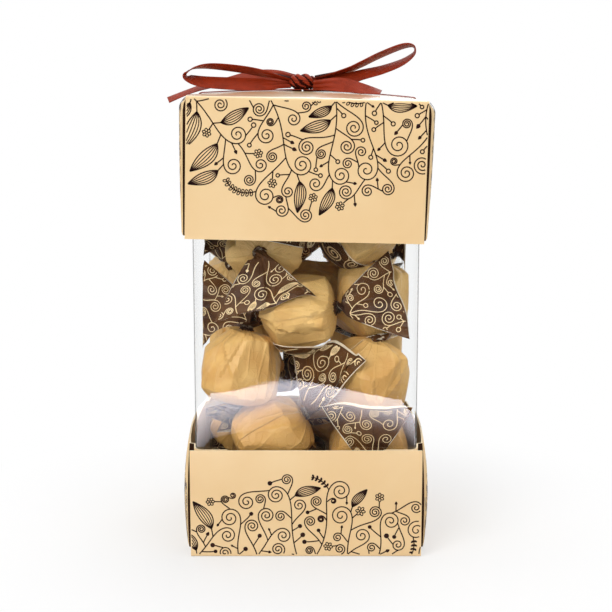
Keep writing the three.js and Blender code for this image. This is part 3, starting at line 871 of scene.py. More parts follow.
@dataclass
class ScrollPrint:
    """A scrollwork of curls, leaves and berries that grows over a patch of card or paper.

    The patch is measured in millimetres, with x across from its middle and y away from the edge
    that the stems grow from.
    """

    width: float
    height: float
    seed: int
    roots: Sequence[tuple[float, float, float]]
    inside: Test
    stem: Callable[[float], float]
    line: float = 0.45
    filled: bool = False
    largest: float = 1.0
    clear: float = 0.66
    mesh: float = 0.2
    pad: float = 6.0
    root_room: float = 1.2
    stem_tries: int = 80
    site_tries: int = 6
    strokes: list[Stroke] = field(default_factory=list)
    blots: list[Points] = field(default_factory=list)
    sites: list[Site] = field(default_factory=list)

    def grow(self) -> "ScrollPrint":
        """Draw the whole patch.

        Returns:
            The patch itself.
        """
        self.chance = random.Random(self.seed)
        size = [int((v + 2 * self.pad) / self.mesh) + 1 for v in (self.height, self.width)]
        self.taken = np.zeros(size, bool)
        self._stems()
        self._fill({Growth.BRANCH: (6, 2.0, 3.2), Growth.LEAF: (1.4, 3.6, 5.2)}, 1)
        self._fill({Growth.CURL: (4, 1.9, 3.1), Growth.LEAF: (1.0, 3.4, 4.8), Growth.SPRIG: (1.6, 3.0, 4.6),
                    Growth.BLOSSOM: (0.8, 1.8, 3.4), Growth.BERRY: (1.0, 2.4, 4.0)}, 2)
        for x, y, heading in self.roots:
            for shift in (-3.0, 3.0):
                self.sites.append(Site(np.array([x + shift, y]), heading, self.chance.choice(HANDS)))
        self._fill({Growth.CURL: (3, 1.2, 2.2), Growth.SPRIG: (1, 2.2, 3.6), Growth.PLUME: (0.5, 2.4, 3.2),
                    Growth.BERRY: (1.2, 2.2, 4.0), Growth.BLOSSOM: (1.2, 1.8, 3.2),
                    Growth.BUD: (1.2, 2.2, 3.4)}, 1)
        return self

    def _cells(self, points: Points) -> tuple[Points, Points]:
        """Find the raster cells that points are in.

        Args:
            points: the points.

        Returns:
            Their rows and columns.
        """
        columns = ((points[:, 0] + self.width / 2 + self.pad) / self.mesh).astype(int)
        rows = ((points[:, 1] + self.pad) / self.mesh).astype(int)
        return rows, columns

    def _fits(self, motif: Motif, root: Points) -> bool:
        """Tell whether a motif has room.

        Args:
            motif: the motif.
            root: where it springs from, which is left out.

        Returns:
            Whether it has room.
        """
        points = motif.points()
        points = points[np.linalg.norm(points - root, axis=1) > self.root_room]
        if len(points) == 0:
            return True
        rows, columns = self._cells(points)
        if min(rows.min(), columns.min()) < 0:
            return False
        if rows.max() >= self.taken.shape[0] or columns.max() >= self.taken.shape[1]:
            return False
        return bool(self.inside(points).all()) and not self.taken[rows, columns].any()

    def _put(self, motif: Motif) -> None:
        """Keep a motif and mark the room that it takes.

        Args:
            motif: the motif.
        """
        self.strokes += motif.strokes
        self.blots += motif.blots
        self.sites += motif.sites
        rows, columns = self._cells(motif.points())
        reach = int(self.clear / self.mesh)
        for down in range(-reach, reach + 1):
            for over in range(-reach, reach + 1):
                if down * down + over * over <= reach * reach:
                    self.taken[np.clip(rows + down, 0, self.taken.shape[0] - 1),
                               np.clip(columns + over, 0, self.taken.shape[1] - 1)] = True

    def _stems(self) -> None:
        """Draw the main stems, each from its root to a curl."""
        draw = self.chance.uniform
        for number, (x, y, heading) in enumerate(self.roots):
            hand = 1 if number % 2 else -1
            for _ in range(self.stem_tries):
                point = np.array([x + draw(-3, 3) * self.largest, y])
                site = Site(point, heading + hand * draw(0.1, 0.9), hand)
                size = draw(2.2, 3.4) * self.largest
                length = self.stem(point[0]) * draw(0.5, 1.0)
                motif = self.curl(site, size, length, draw(0.6, 1.5) / length)
                if self._fits(motif, point):
                    self._put(motif)
                    break

    def _fill(self, kinds: dict[Growth, tuple[float, float, float]], rounds: int) -> None:
        """Grow things from the free sites.

        Args:
            kinds: each kind's weight, least and greatest size.
            rounds: how often the sites are gone through.
        """
        names = list(kinds)
        weights = [kinds[n][0] for n in names]
        for _ in range(rounds):
            sites, self.sites = self.sites, []
            self.chance.shuffle(sites)
            for site in sites:
                for attempt in range(self.site_tries):
                    kind = self.chance.choices(names, weights)[0]
                    size = self.chance.uniform(*kinds[kind][1:]) * (1 - 0.07 * attempt) * self.largest
                    turn = site.heading + site.hand * self.chance.uniform(0.25, 1.1)
                    motif = getattr(self, kind.value)(Site(site.point, turn, site.hand), size)
                    if self._fits(motif, site.point):
                        self._put(motif)
                        break
                else:
                    self.sites.append(site)

    def curl(self, site: Site, size: float, stem: float = 0.0, sway: float = 0.0) -> Motif:
        """Draw a stem that ends in a spiral.

        Args:
            site: where it grows; hand 1 turns left, -1 right.
            size: radius of the spiral.
            stem: length of the stem, or 0 for one of its own.
            sway: how much the stem first bends the other way, or 0 for a little.

        Returns:
            The motif, with sites along both sides of its stem and on the back of its spiral.
        """
        hand = site.hand
        stem = stem or size * self.chance.uniform(1.6, 3.6)
        sway = sway or 0.12 / size
        turns = self.chance.uniform(1.6, 2.4)
        path = pen_path(site.point, site.heading, stem, -hand * sway, hand / size, 2.2 + 0.06 * stem)
        turn = end_heading(path)
        middle = path[-1] + size * way(turn + hand * math.pi / 2)
        share = np.linspace(0, 1, int(turns * 22) + 1)[1:]
        radius = size * (1 - share) + 0.3 * share
        angle = turn - hand * math.pi / 2 + hand * share * turns * 2 * math.pi
        coil = middle + radius[:, None] * lay(np.cos(angle), np.sin(angle))
        motif = Motif([Stroke(np.concatenate([path, coil]), self.line)])
        for i in range(6, len(path) - 2, 8):
            for side in (-hand, hand):
                motif.sites.append(Site(path[i], end_heading(path[:i + 2]), side))
        for i in range(2, 15, 6):
            motif.sites.append(Site(coil[i], angle[i] + hand * math.pi / 2, -hand))
        return motif

    def branch(self, site: Site, size: float) -> Motif:
        """Draw a long side stem that ends in a spiral, as curl does, to the other hand."""
        length = size * self.chance.uniform(3.2, 6.0)
        return self.curl(Site(site.point, site.heading, -site.hand), size, length,
                         self.chance.uniform(0.2, 0.9) / length)

    def stalk(self, site: Site, length: float, bend: float, finish: float = 0.0) -> tuple[Points, Motif]:
        """Draw a stalk with a bend at its start and end; give its points and a motif of it alone."""
        path = pen_path(site.point, site.heading, length, site.hand * bend, site.hand * finish, 1)
        return path, Motif([Stroke(path, self.line)])

    def berry(self, site: Site, size: float) -> Motif:
        """Draw a stalk with a berry on its end.

        Args:
            site: where it grows.
            size: its size.

        Returns:
            The motif.
        """
        path, motif = self.stalk(site, size * 1.2, 0.22 / size, -0.1)
        radius = self.chance.uniform(0.62, 0.85)
        turn = end_heading(path)
        if self.filled:
            motif.blots.append(loop(path[-1], turn, 2.3 * radius, 1.15 * radius, 15)[:-1])
        else:
            motif.strokes.append(Stroke(loop(path[-1], turn, 2 * radius, radius, 15), self.line))
        return motif

    def bud(self, site: Site, size: float) -> Motif:
        """Draw a stalk with a dark bud on its end.

        Args:
            site: where it grows.
            size: its size.

        Returns:
            The motif.
        """
        path, motif = self.stalk(site, size, 0.2 / size)
        along = way(end_heading(path))
        across = np.array([-along[1], along[0]])
        turn = np.linspace(0, TURN, 17)[:-1]
        share = (1 - np.cos(turn)) / 2
        wide = np.sin(turn) * np.sqrt(1 - share) * size * 0.28
        motif.blots.append(path[-1] + np.outer(share * size * 0.55, along) + np.outer(wide, across))
        return motif

    def leaf(self, site: Site, size: float) -> Motif:
        """Draw a long leaf with its veins.

        Args:
            site: where it grows.
            size: its size.

        Returns:
            The motif.
        """
        hand = site.hand
        path, motif = self.stalk(site, size * 0.6, 0.15 / size)
        along = way(end_heading(path) + hand * 0.15)
        across = np.array([-along[1], along[0]])
        length = size * 2.3
        tip = path[-1] + length * (along + hand * 0.25 * across)
        share = np.linspace(0, 1, 16)[:, None]
        for vein in (-1.0, -0.62, -0.24, 0.16, 0.56, 0.95):
            aside = size * 0.9 * vein - hand * 0.3 * size
            belly = (path[-1] + tip) / 2 + across * aside - along * size * 0.2
            curve = (1 - share) ** 2 * path[-1] + 2 * share * (1 - share) * belly + share ** 2 * tip
            motif.strokes.append(Stroke(curve, self.line * (1.0 if abs(vein) > 0.9 else 0.8)))
        return motif

    def sprig(self, site: Site, size: float) -> Motif:
        """Draw a stem with pairs of small leaves.

        Args:
            site: where it grows.
            size: its size.

        Returns:
            The motif.
        """
        total, gap = size * 2.6, 1.55
        path, motif = self.stalk(site, total, 0.08, 0.16)
        for pair in range(1, int(total / gap) + 1):
            i = min(int(pair * gap / total * (len(path) - 1)), len(path) - 2)
            for side in HANDS:
                outline = loop(path[i], end_heading(path[:i + 2]) + side * 1.05, 1.35, 0.42, 11)
                if self.filled:
                    motif.blots.append(outline[:-1])
                else:
                    motif.strokes.append(Stroke(outline, self.line * 0.85))
        return motif

    def blossom(self, site: Site, size: float) -> Motif:
        """Draw a stalk with a six-petalled flower.

        Args:
            site: where it grows.
            size: its size.

        Returns:
            The motif.
        """
        path, motif = self.stalk(site, size * 1.1, 0.25 / size)
        radius = self.chance.uniform(1.5, 1.9)
        middle = path[-1] + way(end_heading(path)) * radius
        first = self.chance.uniform(0, 1)
        for petal in range(6):
            turn = first + petal * math.pi / 3
            outline = loop(middle + 0.35 * way(turn), turn, radius - 0.35, 0.48, 12)
            motif.strokes.append(Stroke(outline, self.line * 0.85))
        return motif

    def plume(self, site: Site, size: float) -> Motif:
        """Draw a tuft of curved lines.

        Args:
            site: where it grows.
            size: its size.

        Returns:
            The motif.
        """
        motif = Motif()
        for share in np.linspace(-1, 1, 6):
            path = pen_path(site.point, site.heading + share * 0.55, size * (1.9 - 0.45 * abs(share)),
                            -share * 0.2 / size, share * 0.5 / size, 1)
            motif.strokes.append(Stroke(path, self.line * 0.85))
        return motif


class InkWork:
    """Turns drawn patches into fine raised lines on a surface."""

    def __init__(self, name: str, rise: float = 0.035) -> None:
        """Start an empty print.

        Args:
            name: name of the piece.
            rise: how far the ink stands above its surface, in millimetres.
        """
        self.name = name
        self.rise = rise
        self.points: list[Points] = []
        self.faces: list[tuple[int, ...]] = []
        self.count = 0

    def _add(self, points: Points) -> int:
        """Keep points.

        Args:
            points: the points.

        Returns:
            The number of the first one.
        """
        first = self.count
        self.points.append(points)
        self.count += len(points)
        return first

    def patch(self, patch: ScrollPrint, surface: Surface, keep: Test) -> None:
        """Lay a patch on a surface.

        Args:
            patch: the drawn patch.
            surface: gives places and outward directions for pattern points.
            keep: tells which pattern points are on the surface.
        """
        for stroke in patch.strokes:
            for run in self._runs(stroke.points, keep(stroke.points)):
                self._bar(run, stroke.width, surface)
        for outline in patch.blots:
            if keep(outline).all():
                self._spot(outline, surface)

    @staticmethod
    def _runs(points: Points, kept: Points) -> Iterable[Points]:
        """Split a line where it leaves the surface, into runs of points that are on it."""
        breaks = np.flatnonzero(np.diff(np.concatenate([[0], kept.astype(int), [0]])))
        return [points[first:last] for first, last in zip(breaks[::2], breaks[1::2]) if last - first > 2]

    def _bar(self, line: Points, width: float, surface: Surface) -> None:
        """Lay one line as a closed flat bar.

        Args:
            line: the line's points.
            width: its width.
            surface: what it lies on.
        """
        step = np.gradient(line, axis=0)
        step /= np.maximum(np.linalg.norm(step, axis=1, keepdims=True), 1e-9)
        aside = lay(-step[:, 1], step[:, 0]) * width / 2
        left, out_left = surface(line + aside)
        right, out_right = surface(line - aside)
        ring = np.stack([left + out_left * self.rise, right + out_right * self.rise,
                         right - out_right * self.rise, left - out_left * self.rise], 1)
        first = self._add(ring.reshape(-1, 3))
        for i in range(len(line) - 1):
            for j in range(4):
                a, b = first + 4 * i + j, first + 4 * i + (j + 1) % 4
                self.faces.append((a, b, b + 4, a + 4))
        last = first + 4 * (len(line) - 1)
        self.faces.append((first + 3, first + 2, first + 1, first))
        self.faces.append((last, last + 1, last + 2, last + 3))

    def _spot(self, outline: Points, surface: Surface) -> None:
        """Lay one filled spot as a closed flat plate.

        Args:
            outline: the spot's edge.
            surface: what it lies on.
        """
        place, out = surface(outline)
        count = len(outline)
        first = self._add(np.concatenate([place + out * self.rise, place - out * self.rise]))
        self.faces.append(tuple(first + i for i in range(count)))
        self.faces.append(tuple(first + 2 * count - 1 - i for i in range(count)))
        for i in range(count):
            j = (i + 1) % count
            self.faces.append((first + i, first + count + i, first + count + j, first + j))

    def make(self, ink: Material) -> Piece:
        """Build the print as one piece.

        Args:
            ink: the ink's material.

        Returns:
            The piece.
        """
        mesh = bpy.data.meshes.new(self.name)
        mesh.from_pydata((np.concatenate(self.points) * MM).tolist(), [], self.faces)
        piece = bpy.data.objects.new(self.name, mesh)
        bpy.context.scene.collection.objects.link(piece)
        Bench.face_out(piece)
        Bench.dress(piece, [ink])
        return piece


@dataclass(frozen=True)
class CardSizes:
    """Sizes that the tray and the lid share."""

    card: float = 0.6
    panel_half: float = 43.5
    panel_out: float = 44.1
    fold_y: float = 41.6
    bulge: float = 5.8
    tab: float = 14.0
    fold_in: float = 3.6
    fold_radius: float = 0.9
    fold_dip: float = 2.2
    fold_power: int = 14
    flute: tuple[float, float] = (33.2, 34.4)
    flute_dip: float = 0.9
    seam: float = 0.05

    def side_half(self, y: Points, slack: Points = 1.0) -> Points:
        """Give half the width of a shell at a depth: its side panels bow out between two flutes.

        Args:
            y: the depth.
            slack: how much of the full bow there is.

        Returns:
            The half width.
        """
        share = np.minimum(np.abs(y) / self.fold_y, 1.0)
        flute = smooth(*self.flute, np.abs(y))
        bow = self.bulge * slack * (1 - share * share) * (1 - flute)
        fold = (self.fold_dip - self.flute_dip) * share ** self.fold_power
        return self.panel_half + bow - self.flute_dip * flute - fold


@dataclass
class CardShell:
    """A card shell: one long sheet over front, flat and back, and two bowed sides with glue tabs.

    Its scrollwork grows from the flat's edge. The seeds and the numbers of stems are those of the
    front and back, then those of the sides; the reach is its least, what it gains in the middle of a
    panel and the half width of that gain.
    """

    finishes: Finishes
    label: str
    node: str
    body: Body
    height: float
    flank_half: float
    seeds: tuple[int, int]
    stems: tuple[int, int]
    filled: bool
    largest: float
    reach: tuple[float, float, float]
    sizes: CardSizes = CardSizes()

    def seat(self, points: Points) -> Points:
        """Bring points from the shell's own layout to its place in the box."""
        return points

    def flat(self, x: Points, y: Points) -> Points:
        """Give the height of the flat panel, measured away from the walls."""
        return np.zeros(np.broadcast(x, y).shape)

    def flat_half(self, y: Points) -> Points:
        """Give half the width of the flat panel at a depth."""
        return self.sizes.side_half(y, self.slack(np.array(0.0))) - self.sizes.card - self.sizes.seam

    def foot(self, y: Points) -> Points:
        """Give where a side panel starts above the flat, at a depth."""
        return np.full(np.shape(y), self.sizes.seam)

    def slack(self, z: Points) -> Points:
        """Give how much of the full bow the side panels have, at a height over the flat."""
        return np.ones(np.shape(z))

    def cut(self, sheet: Piece) -> None:
        """Cut openings into the long sheet; a plain shell has none."""

    def build(self) -> None:
        """Make and dress the shell and its print."""
        sheet = self.long_sheet()
        self.cut(sheet)
        piece = Bench.join(f"{self.label}_card", [sheet, *(self.side_strip(hand) for hand in HANDS)])
        Bench.shade(piece, 35)
        Bench.fit(piece, self.body, Slot.CARD, [self.node])
        Bench.fit(self.print_on(), self.body, Slot.CARD)

    def panel(self, kind: str, grid: Points, face: Material) -> Piece:
        """Make one piece of card.

        Args:
            kind: its name after the shell's label.
            grid: its outer face in the shell's layout, by rows and columns.
            face: the finish of that face.

        Returns:
            The card with its thickness.
        """
        piece = Bench.sheet(f"{self.label}_{kind}", self.seat(grid))
        mesh = piece.data
        middle = Vector((0.0, 0.0, np.mean([v.co.z for v in mesh.vertices])))
        if sum(1 if f.normal.dot(f.center - middle) > 0 else -1 for f in mesh.polygons) < 0:
            mesh.flip_normals()
        Bench.thicken(piece, self.sizes.card, [face, self.finishes.card_back, self.finishes.card_edge])
        return piece

    def long_sheet(self) -> Piece:
        """Make front, flat and back panel as one folded sheet.

        Returns:
            The sheet; its walls run from the flat at 0 to the height.
        """
        s = self.sizes
        turn = np.linspace(0, math.pi / 2, 6)[1:-1]
        bend = s.panel_out - s.fold_radius
        rise = np.linspace(self.height, s.fold_radius, 10)
        profile = [(-s.panel_out, z) for z in rise]
        profile += [(-bend - s.fold_radius * math.cos(t), s.fold_radius * (1 - math.sin(t))) for t in turn]
        profile += [(y, 0.0) for y in np.linspace(-bend, bend, 45)]
        profile += [(bend + s.fold_radius * math.sin(t), s.fold_radius * (1 - math.cos(t))) for t in turn]
        profile += [(s.panel_out, z) for z in rise[::-1]]
        share = np.linspace(-1, 1, 49)
        rows = []
        for y, z in profile:
            x = share * s.panel_half
            if abs(y) <= bend:
                x = share * max(float(self.flat_half(np.array(y))), s.panel_half)
                z = z - self.flat(x, np.full_like(x, y))
            rows.append(lay(x, y, z))
        return self.panel("sheet", np.array(rows), self.finishes.card)

    def side_strip(self, hand: int) -> Piece:
        """Make one side panel with its glue tabs.

        Args:
            hand: 1 for the right side, -1 for the left.

        Returns:
            The strip.
        """
        s = self.sizes
        behind = s.panel_half - s.card - s.seam
        middle = s.flute[0] - 1.0
        outer = np.concatenate([np.linspace(s.fold_y, s.flute[1] + 1.0, 6), np.linspace(*s.flute[::-1], 7)])
        y = np.concatenate([-outer, np.linspace(-middle, middle, 31), outer[::-1]])
        tab = lay(s.panel_half - np.array([s.tab, s.tab / 2, s.fold_in]), -behind)
        rows = []
        for share in np.linspace(0, 1, 21):
            bow = lay(s.side_half(y, self.slack(np.array(share * self.height))), y)
            plan = np.concatenate([tab, bow, (tab * [1, -1])[::-1]])
            for _ in range(2):
                plan = self.round_off(plan)
            x, depth = plan.T
            lowest = self.foot(depth)
            rows.append(lay(hand * x, depth, lowest + share * (self.height - lowest)))
        return self.panel("side", np.array(rows), self.finishes.side_card)

    @staticmethod
    def round_off(line: Points) -> Points:
        """Cut the corners of a line once, keeping its ends."""
        near, far = (share * line[:-1] + (1 - share) * line[1:] for share in (0.75, 0.25))
        return np.concatenate([line[:1], np.stack([near, far], 1).reshape(-1, 2), line[-1:]])

    def wall(self, hand: int) -> Surface:
        """Give the front or back panel's outer face for pattern points.

        Args:
            hand: -1 for the front, 1 for the back.

        Returns:
            The surface.
        """
        def surface(points: Points) -> tuple[Points, Points]:
            """Place pattern points on the panel and give the way off it."""
            place = lay(-hand * points[:, 0], hand * self.sizes.panel_out, points[:, 1])
            return self._seated(place, np.array([0.0, hand, 0.0]))
        return surface

    def flank(self, hand: int) -> Surface:
        """Give a side panel's outer face for pattern points.

        Args:
            hand: 1 for the right side, -1 for the left.

        Returns:
            The surface.
        """
        def surface(points: Points) -> tuple[Points, Points]:
            """Place pattern points on the panel and give the ways off it."""
            y, z = hand * points[:, 0], points[:, 1]
            slack = self.slack(z)
            slope = 2 * self.sizes.bulge * slack * y / self.sizes.fold_y ** 2
            out = lay(float(hand), slope, 0.0)
            out = out / np.linalg.norm(out, axis=1, keepdims=True)
            return self._seated(lay(hand * self.sizes.side_half(y, slack), y, z), out)
        return surface

    def _seated(self, place: Points, out: Points) -> tuple[Points, Points]:
        """Bring places and directions to the box."""
        seated = self.seat(place)
        return seated, self.seat(place + out) - seated

    def print_on(self) -> Piece:
        """Print all four walls.

        Returns:
            The print.
        """
        work = InkWork(f"{self.label}_print")
        half, edge, over, under = self.sizes.panel_half, 0.25, 4.0, 0.5
        face = self.pattern(0, half, half + over)
        flank = self.pattern(1, self.flank_half, self.flank_half - under)
        for hand in HANDS:
            work.patch(face, self.wall(hand), self.window(half - edge))
            work.patch(flank, self.flank(hand), self.window(self.flank_half))
        return work.make(self.finishes.ink)

    def pattern(self, panel: int, half: float, limit: float, spread: float = 0.93) -> ScrollPrint:
        """Draw the scrollwork of one panel.

        Args:
            panel: 0 for the front and back, 1 for the sides.
            half: half the width of the panel.
            limit: half the width that may be drawn on.
            spread: share of the width that the stems are spread over.

        Returns:
            The drawn patch.
        """
        def within(points: Points) -> Points:
            """Tell which pattern points may be drawn on."""
            return (points[:, 1] < self.print_reach(points[:, 0])) & (np.abs(points[:, 0]) < limit)

        places = np.linspace(-half * spread, half * spread, self.stems[panel])
        roots = [(x, -1.0, math.pi / 2) for x in places]
        return ScrollPrint(2 * half, self.height, self.seeds[panel], roots, within, self.print_reach,
                           filled=self.filled, largest=self.largest, clear=0.95).grow()

    def print_reach(self, x: Points) -> Points:
        """Give how far the print grows from the flat's edge."""
        least, more, wide = self.reach
        return least + more * np.exp(-(np.asarray(x) / wide) ** 2)

    def window(self, half: float) -> Test:
        """Give the test for pattern points that are on a wall of a half width."""
        low, high = self.sizes.fold_radius, self.height - 0.5
        return lambda p: (np.abs(p[:, 0]) < half) & (p[:, 1] > low) & (p[:, 1] < high)


@dataclass
class BaseTray(CardShell):
    """The card tray that the sleeve stands in; its scrollwork grows up from the floor."""

    label: str = "tray"
    node: str = "base_tray"
    body: Body = Body.BASE
    height: float = 41.4
    flank_half: float = 33.0
    seeds: tuple[int, int] = (8, 3)
    stems: tuple[int, int] = (8, 6)
    filled: bool = True
    largest: float = 1.25
    reach: tuple[float, float, float] = (22.0, 12.0, 24.0)

    def slack(self, z: Points) -> Points:
        """Bow the sides most below the middle of their height."""
        share = np.asarray(z) / self.height
        return 0.8 + 0.9 * share - 1.25 * share ** 2


@dataclass
class Lid(CardShell):
    """The card lid, a little askew, with a domed top and two slots for the ribbon."""

    label: str = "lid"
    node: str = "lid"
    body: Body = Body.LID
    height: float = 51.4
    flank_half: float = 27.0
    seeds: tuple[int, int] = (8, 21)
    stems: tuple[int, int] = (8, 5)
    filled: bool = False
    largest: float = 1.35
    reach: tuple[float, float, float] = (32.0, 13.0, 22.0)
    box_height: float = 171.3
    tilt: float = math.radians(1.3)
    rise: float = 2.2
    shoulder: float = 5.0
    shoulder_in: float = 0.62
    edge_in: float = 0.25
    fold_w: float = 5.0
    fold_drop: float = 2.6
    slot_x: float = 42.2
    slot_half: float = 6.0
    ribbon_w: float = 6.0
    ribbon_t: float = 0.4
    play: float = 0.5

    def seat(self, points: Points) -> Points:
        """Turn the layout over, so that its flat is the top, and set it askew on the sleeve.

        Args:
            points: points in the layout.

        Returns:
            Their places in the box.
        """
        x, y, z = points[..., 0], points[..., 1], -points[..., 2] + self.height / 2
        c, s = math.cos(self.tilt), math.sin(self.tilt)
        return lay(x * c + z * s, y, -x * s + z * c + self.box_height - self.height / 2)

    def flat(self, x: Points, y: Points) -> Points:
        """Give the dome of the top panel.

        Args:
            x: places across.
            y: depths.

        Returns:
            The heights.
        """
        u = np.minimum(np.abs(x) / self.flat_half(y), 1.0)
        v = np.minimum(np.abs(y) / self.sizes.panel_out, 1.0)
        return self.rise * (1 - u * u) * (1 - v * v)

    def flat_half(self, y: Points) -> Points:
        """Let the top panel reach over the side panels."""
        return self.sizes.side_half(y, self.slack(np.array(0.0)))

    def foot(self, y: Points) -> Points:
        """Start a side panel under the top panel, lower towards its folds."""
        near = smooth(self.sizes.fold_y - self.fold_w, self.sizes.fold_y, np.abs(y))
        return self.sizes.card + self.sizes.seam + self.fold_drop * near

    def top(self, x: float) -> float:
        """Give the top panel's height over its edge, along its middle."""
        return float(self.flat(np.array(x), np.array(0)))

    def slack(self, z: Points) -> Points:
        """Bow the sides most below their rounded shoulder; the open edge is held straighter."""
        shoulder = np.maximum(1 - np.asarray(z) / self.shoulder, 0.0) ** 2
        return (1.0 - self.edge_in * (np.asarray(z) / self.height) ** 2) * (1 - self.shoulder_in * shoulder)

    def cut(self, sheet: Piece) -> None:
        """Cut the two ribbon slots through the top panel.

        Args:
            sheet: the lid's long sheet.
        """
        half = np.array([self.ribbon_t / 2 + self.play, self.ribbon_w / 2 + self.play, self.slot_half])
        for hand in HANDS:
            Bench.clear()
            bpy.ops.mesh.primitive_cube_add(size=1)
            cutter = bpy.context.object
            corners = np.array([tuple(v.co) for v in cutter.data.vertices]) * 2 * half
            corners[:, 0] += hand * self.slot_x
            for vertex, corner in zip(cutter.data.vertices, self.seat(corners)):
                vertex.co = Vector(corner) * MM
            Bench.face_out(cutter)
            Bench.pick(sheet)
            bpy.ops.object.modifier_add(type="BOOLEAN")
            slot = sheet.modifiers[-1]
            slot.operation = "DIFFERENCE"
            slot.object = cutter
            bpy.ops.object.modifier_apply(modifier=slot.name)
            bpy.data.objects.remove(cutter)


@dataclass
class ClearSleeve:
    """The square sleeve of clear film, with its glued lap on the back wall."""

    finishes: Finishes
    width: float = 83.0
    film: float = 0.16
    corner: float = 0.9
    low: float = 0.9
    high: float = 168.8
    lap: float = 9.0
    lap_gap: float = 0.02
    wave: float = 0.16
    waves: float = 28.0
    wave_tall: float = 0.6

    def build(self) -> None:
        """Make and dress the sleeve."""
        Bench.clear()
        bpy.ops.mesh.primitive_cube_add(size=1, location=(0, 0, (self.low + self.high) / 2 * MM))
        piece = bpy.context.object
        piece.scale = (self.width * MM, self.width * MM, (self.high - self.low) * MM)
        bpy.ops.object.transform_apply(location=True, rotation=False, scale=True)
        Bench.choose(piece, "FACE", lambda face: abs(face.normal.z) > 0.9)
        bpy.ops.mesh.delete(type="FACE")
        self._press_folds(piece)
        self._ripple(piece)
        Bench.thicken(piece, self.film, [self.finishes.film])
        piece = Bench.join("sleeve_film", [piece, self._lap_strip()])
        Bench.shade(piece, 60)
        Bench.fit(piece, Body.SLEEVE, Slot.FILM, ["clear_sleeve"])

    def _press_folds(self, piece: Piece) -> None:
        """Round the four upright folds and divide the walls.

        Args:
            piece: the open block.
        """
        def upright(edge: bpy.types.MeshEdge) -> bool:
            """Tell whether an edge runs up a corner."""
            low, high = (piece.data.vertices[i].co.z for i in edge.vertices)
            return abs(high - low) > 0.01

        Bench.choose(piece, "EDGE", upright)
        bpy.ops.mesh.bevel(offset=self.corner * MM, segments=4)
        bpy.ops.mesh.select_all(action="SELECT")
        bpy.ops.mesh.subdivide(number_cuts=15)
        bpy.ops.mesh.normals_make_consistent(inside=False)
        bpy.ops.object.mode_set(mode="OBJECT")

    def _ripple(self, piece: Piece) -> None:
        """Let the front and back wall wave a little, as pressed film does.

        Args:
            piece: the open sleeve.
        """
        half = (self.width / 2 - self.corner) * MM
        for vertex in piece.data.vertices:
            flat = min(abs(vertex.co.x), abs(vertex.co.y))
            share = max(0.0, 1.0 - (flat / half) ** 4) if flat < half else 0.0
            drift = noise.noise(Vector((vertex.co.x, vertex.co.y, vertex.co.z * self.wave_tall)) * self.waves)
            if abs(vertex.co.x) < abs(vertex.co.y):
                vertex.co.y -= math.copysign(abs(drift) * self.wave * share * MM, vertex.co.y)

    def _lap_strip(self) -> Piece:
        """Make the film's glued overlap inside the back wall.

        Returns:
            The strip.
        """
        inner = self.width / 2 - self.film - self.wave - self.lap_gap
        right = inner - self.corner
        x = np.linspace(right - self.lap, right, 8)
        z = np.linspace(self.low, self.high, 24)
        strip = Bench.sheet("sleeve_lap", lay(x[None, :], inner, z[:, None]))
        if strip.data.polygons[0].normal.y < 0:
            strip.data.flip_normals()
        Bench.thicken(strip, self.film / 2, [self.finishes.film])
        return strip


@dataclass(frozen=True)
class RibbonRun:
    """One run of ribbon: stations of x, y, height and lean, in the bow's units."""

    name: str
    stations: tuple[tuple[float, float, float, float], ...]
    gathered: tuple[float, float]


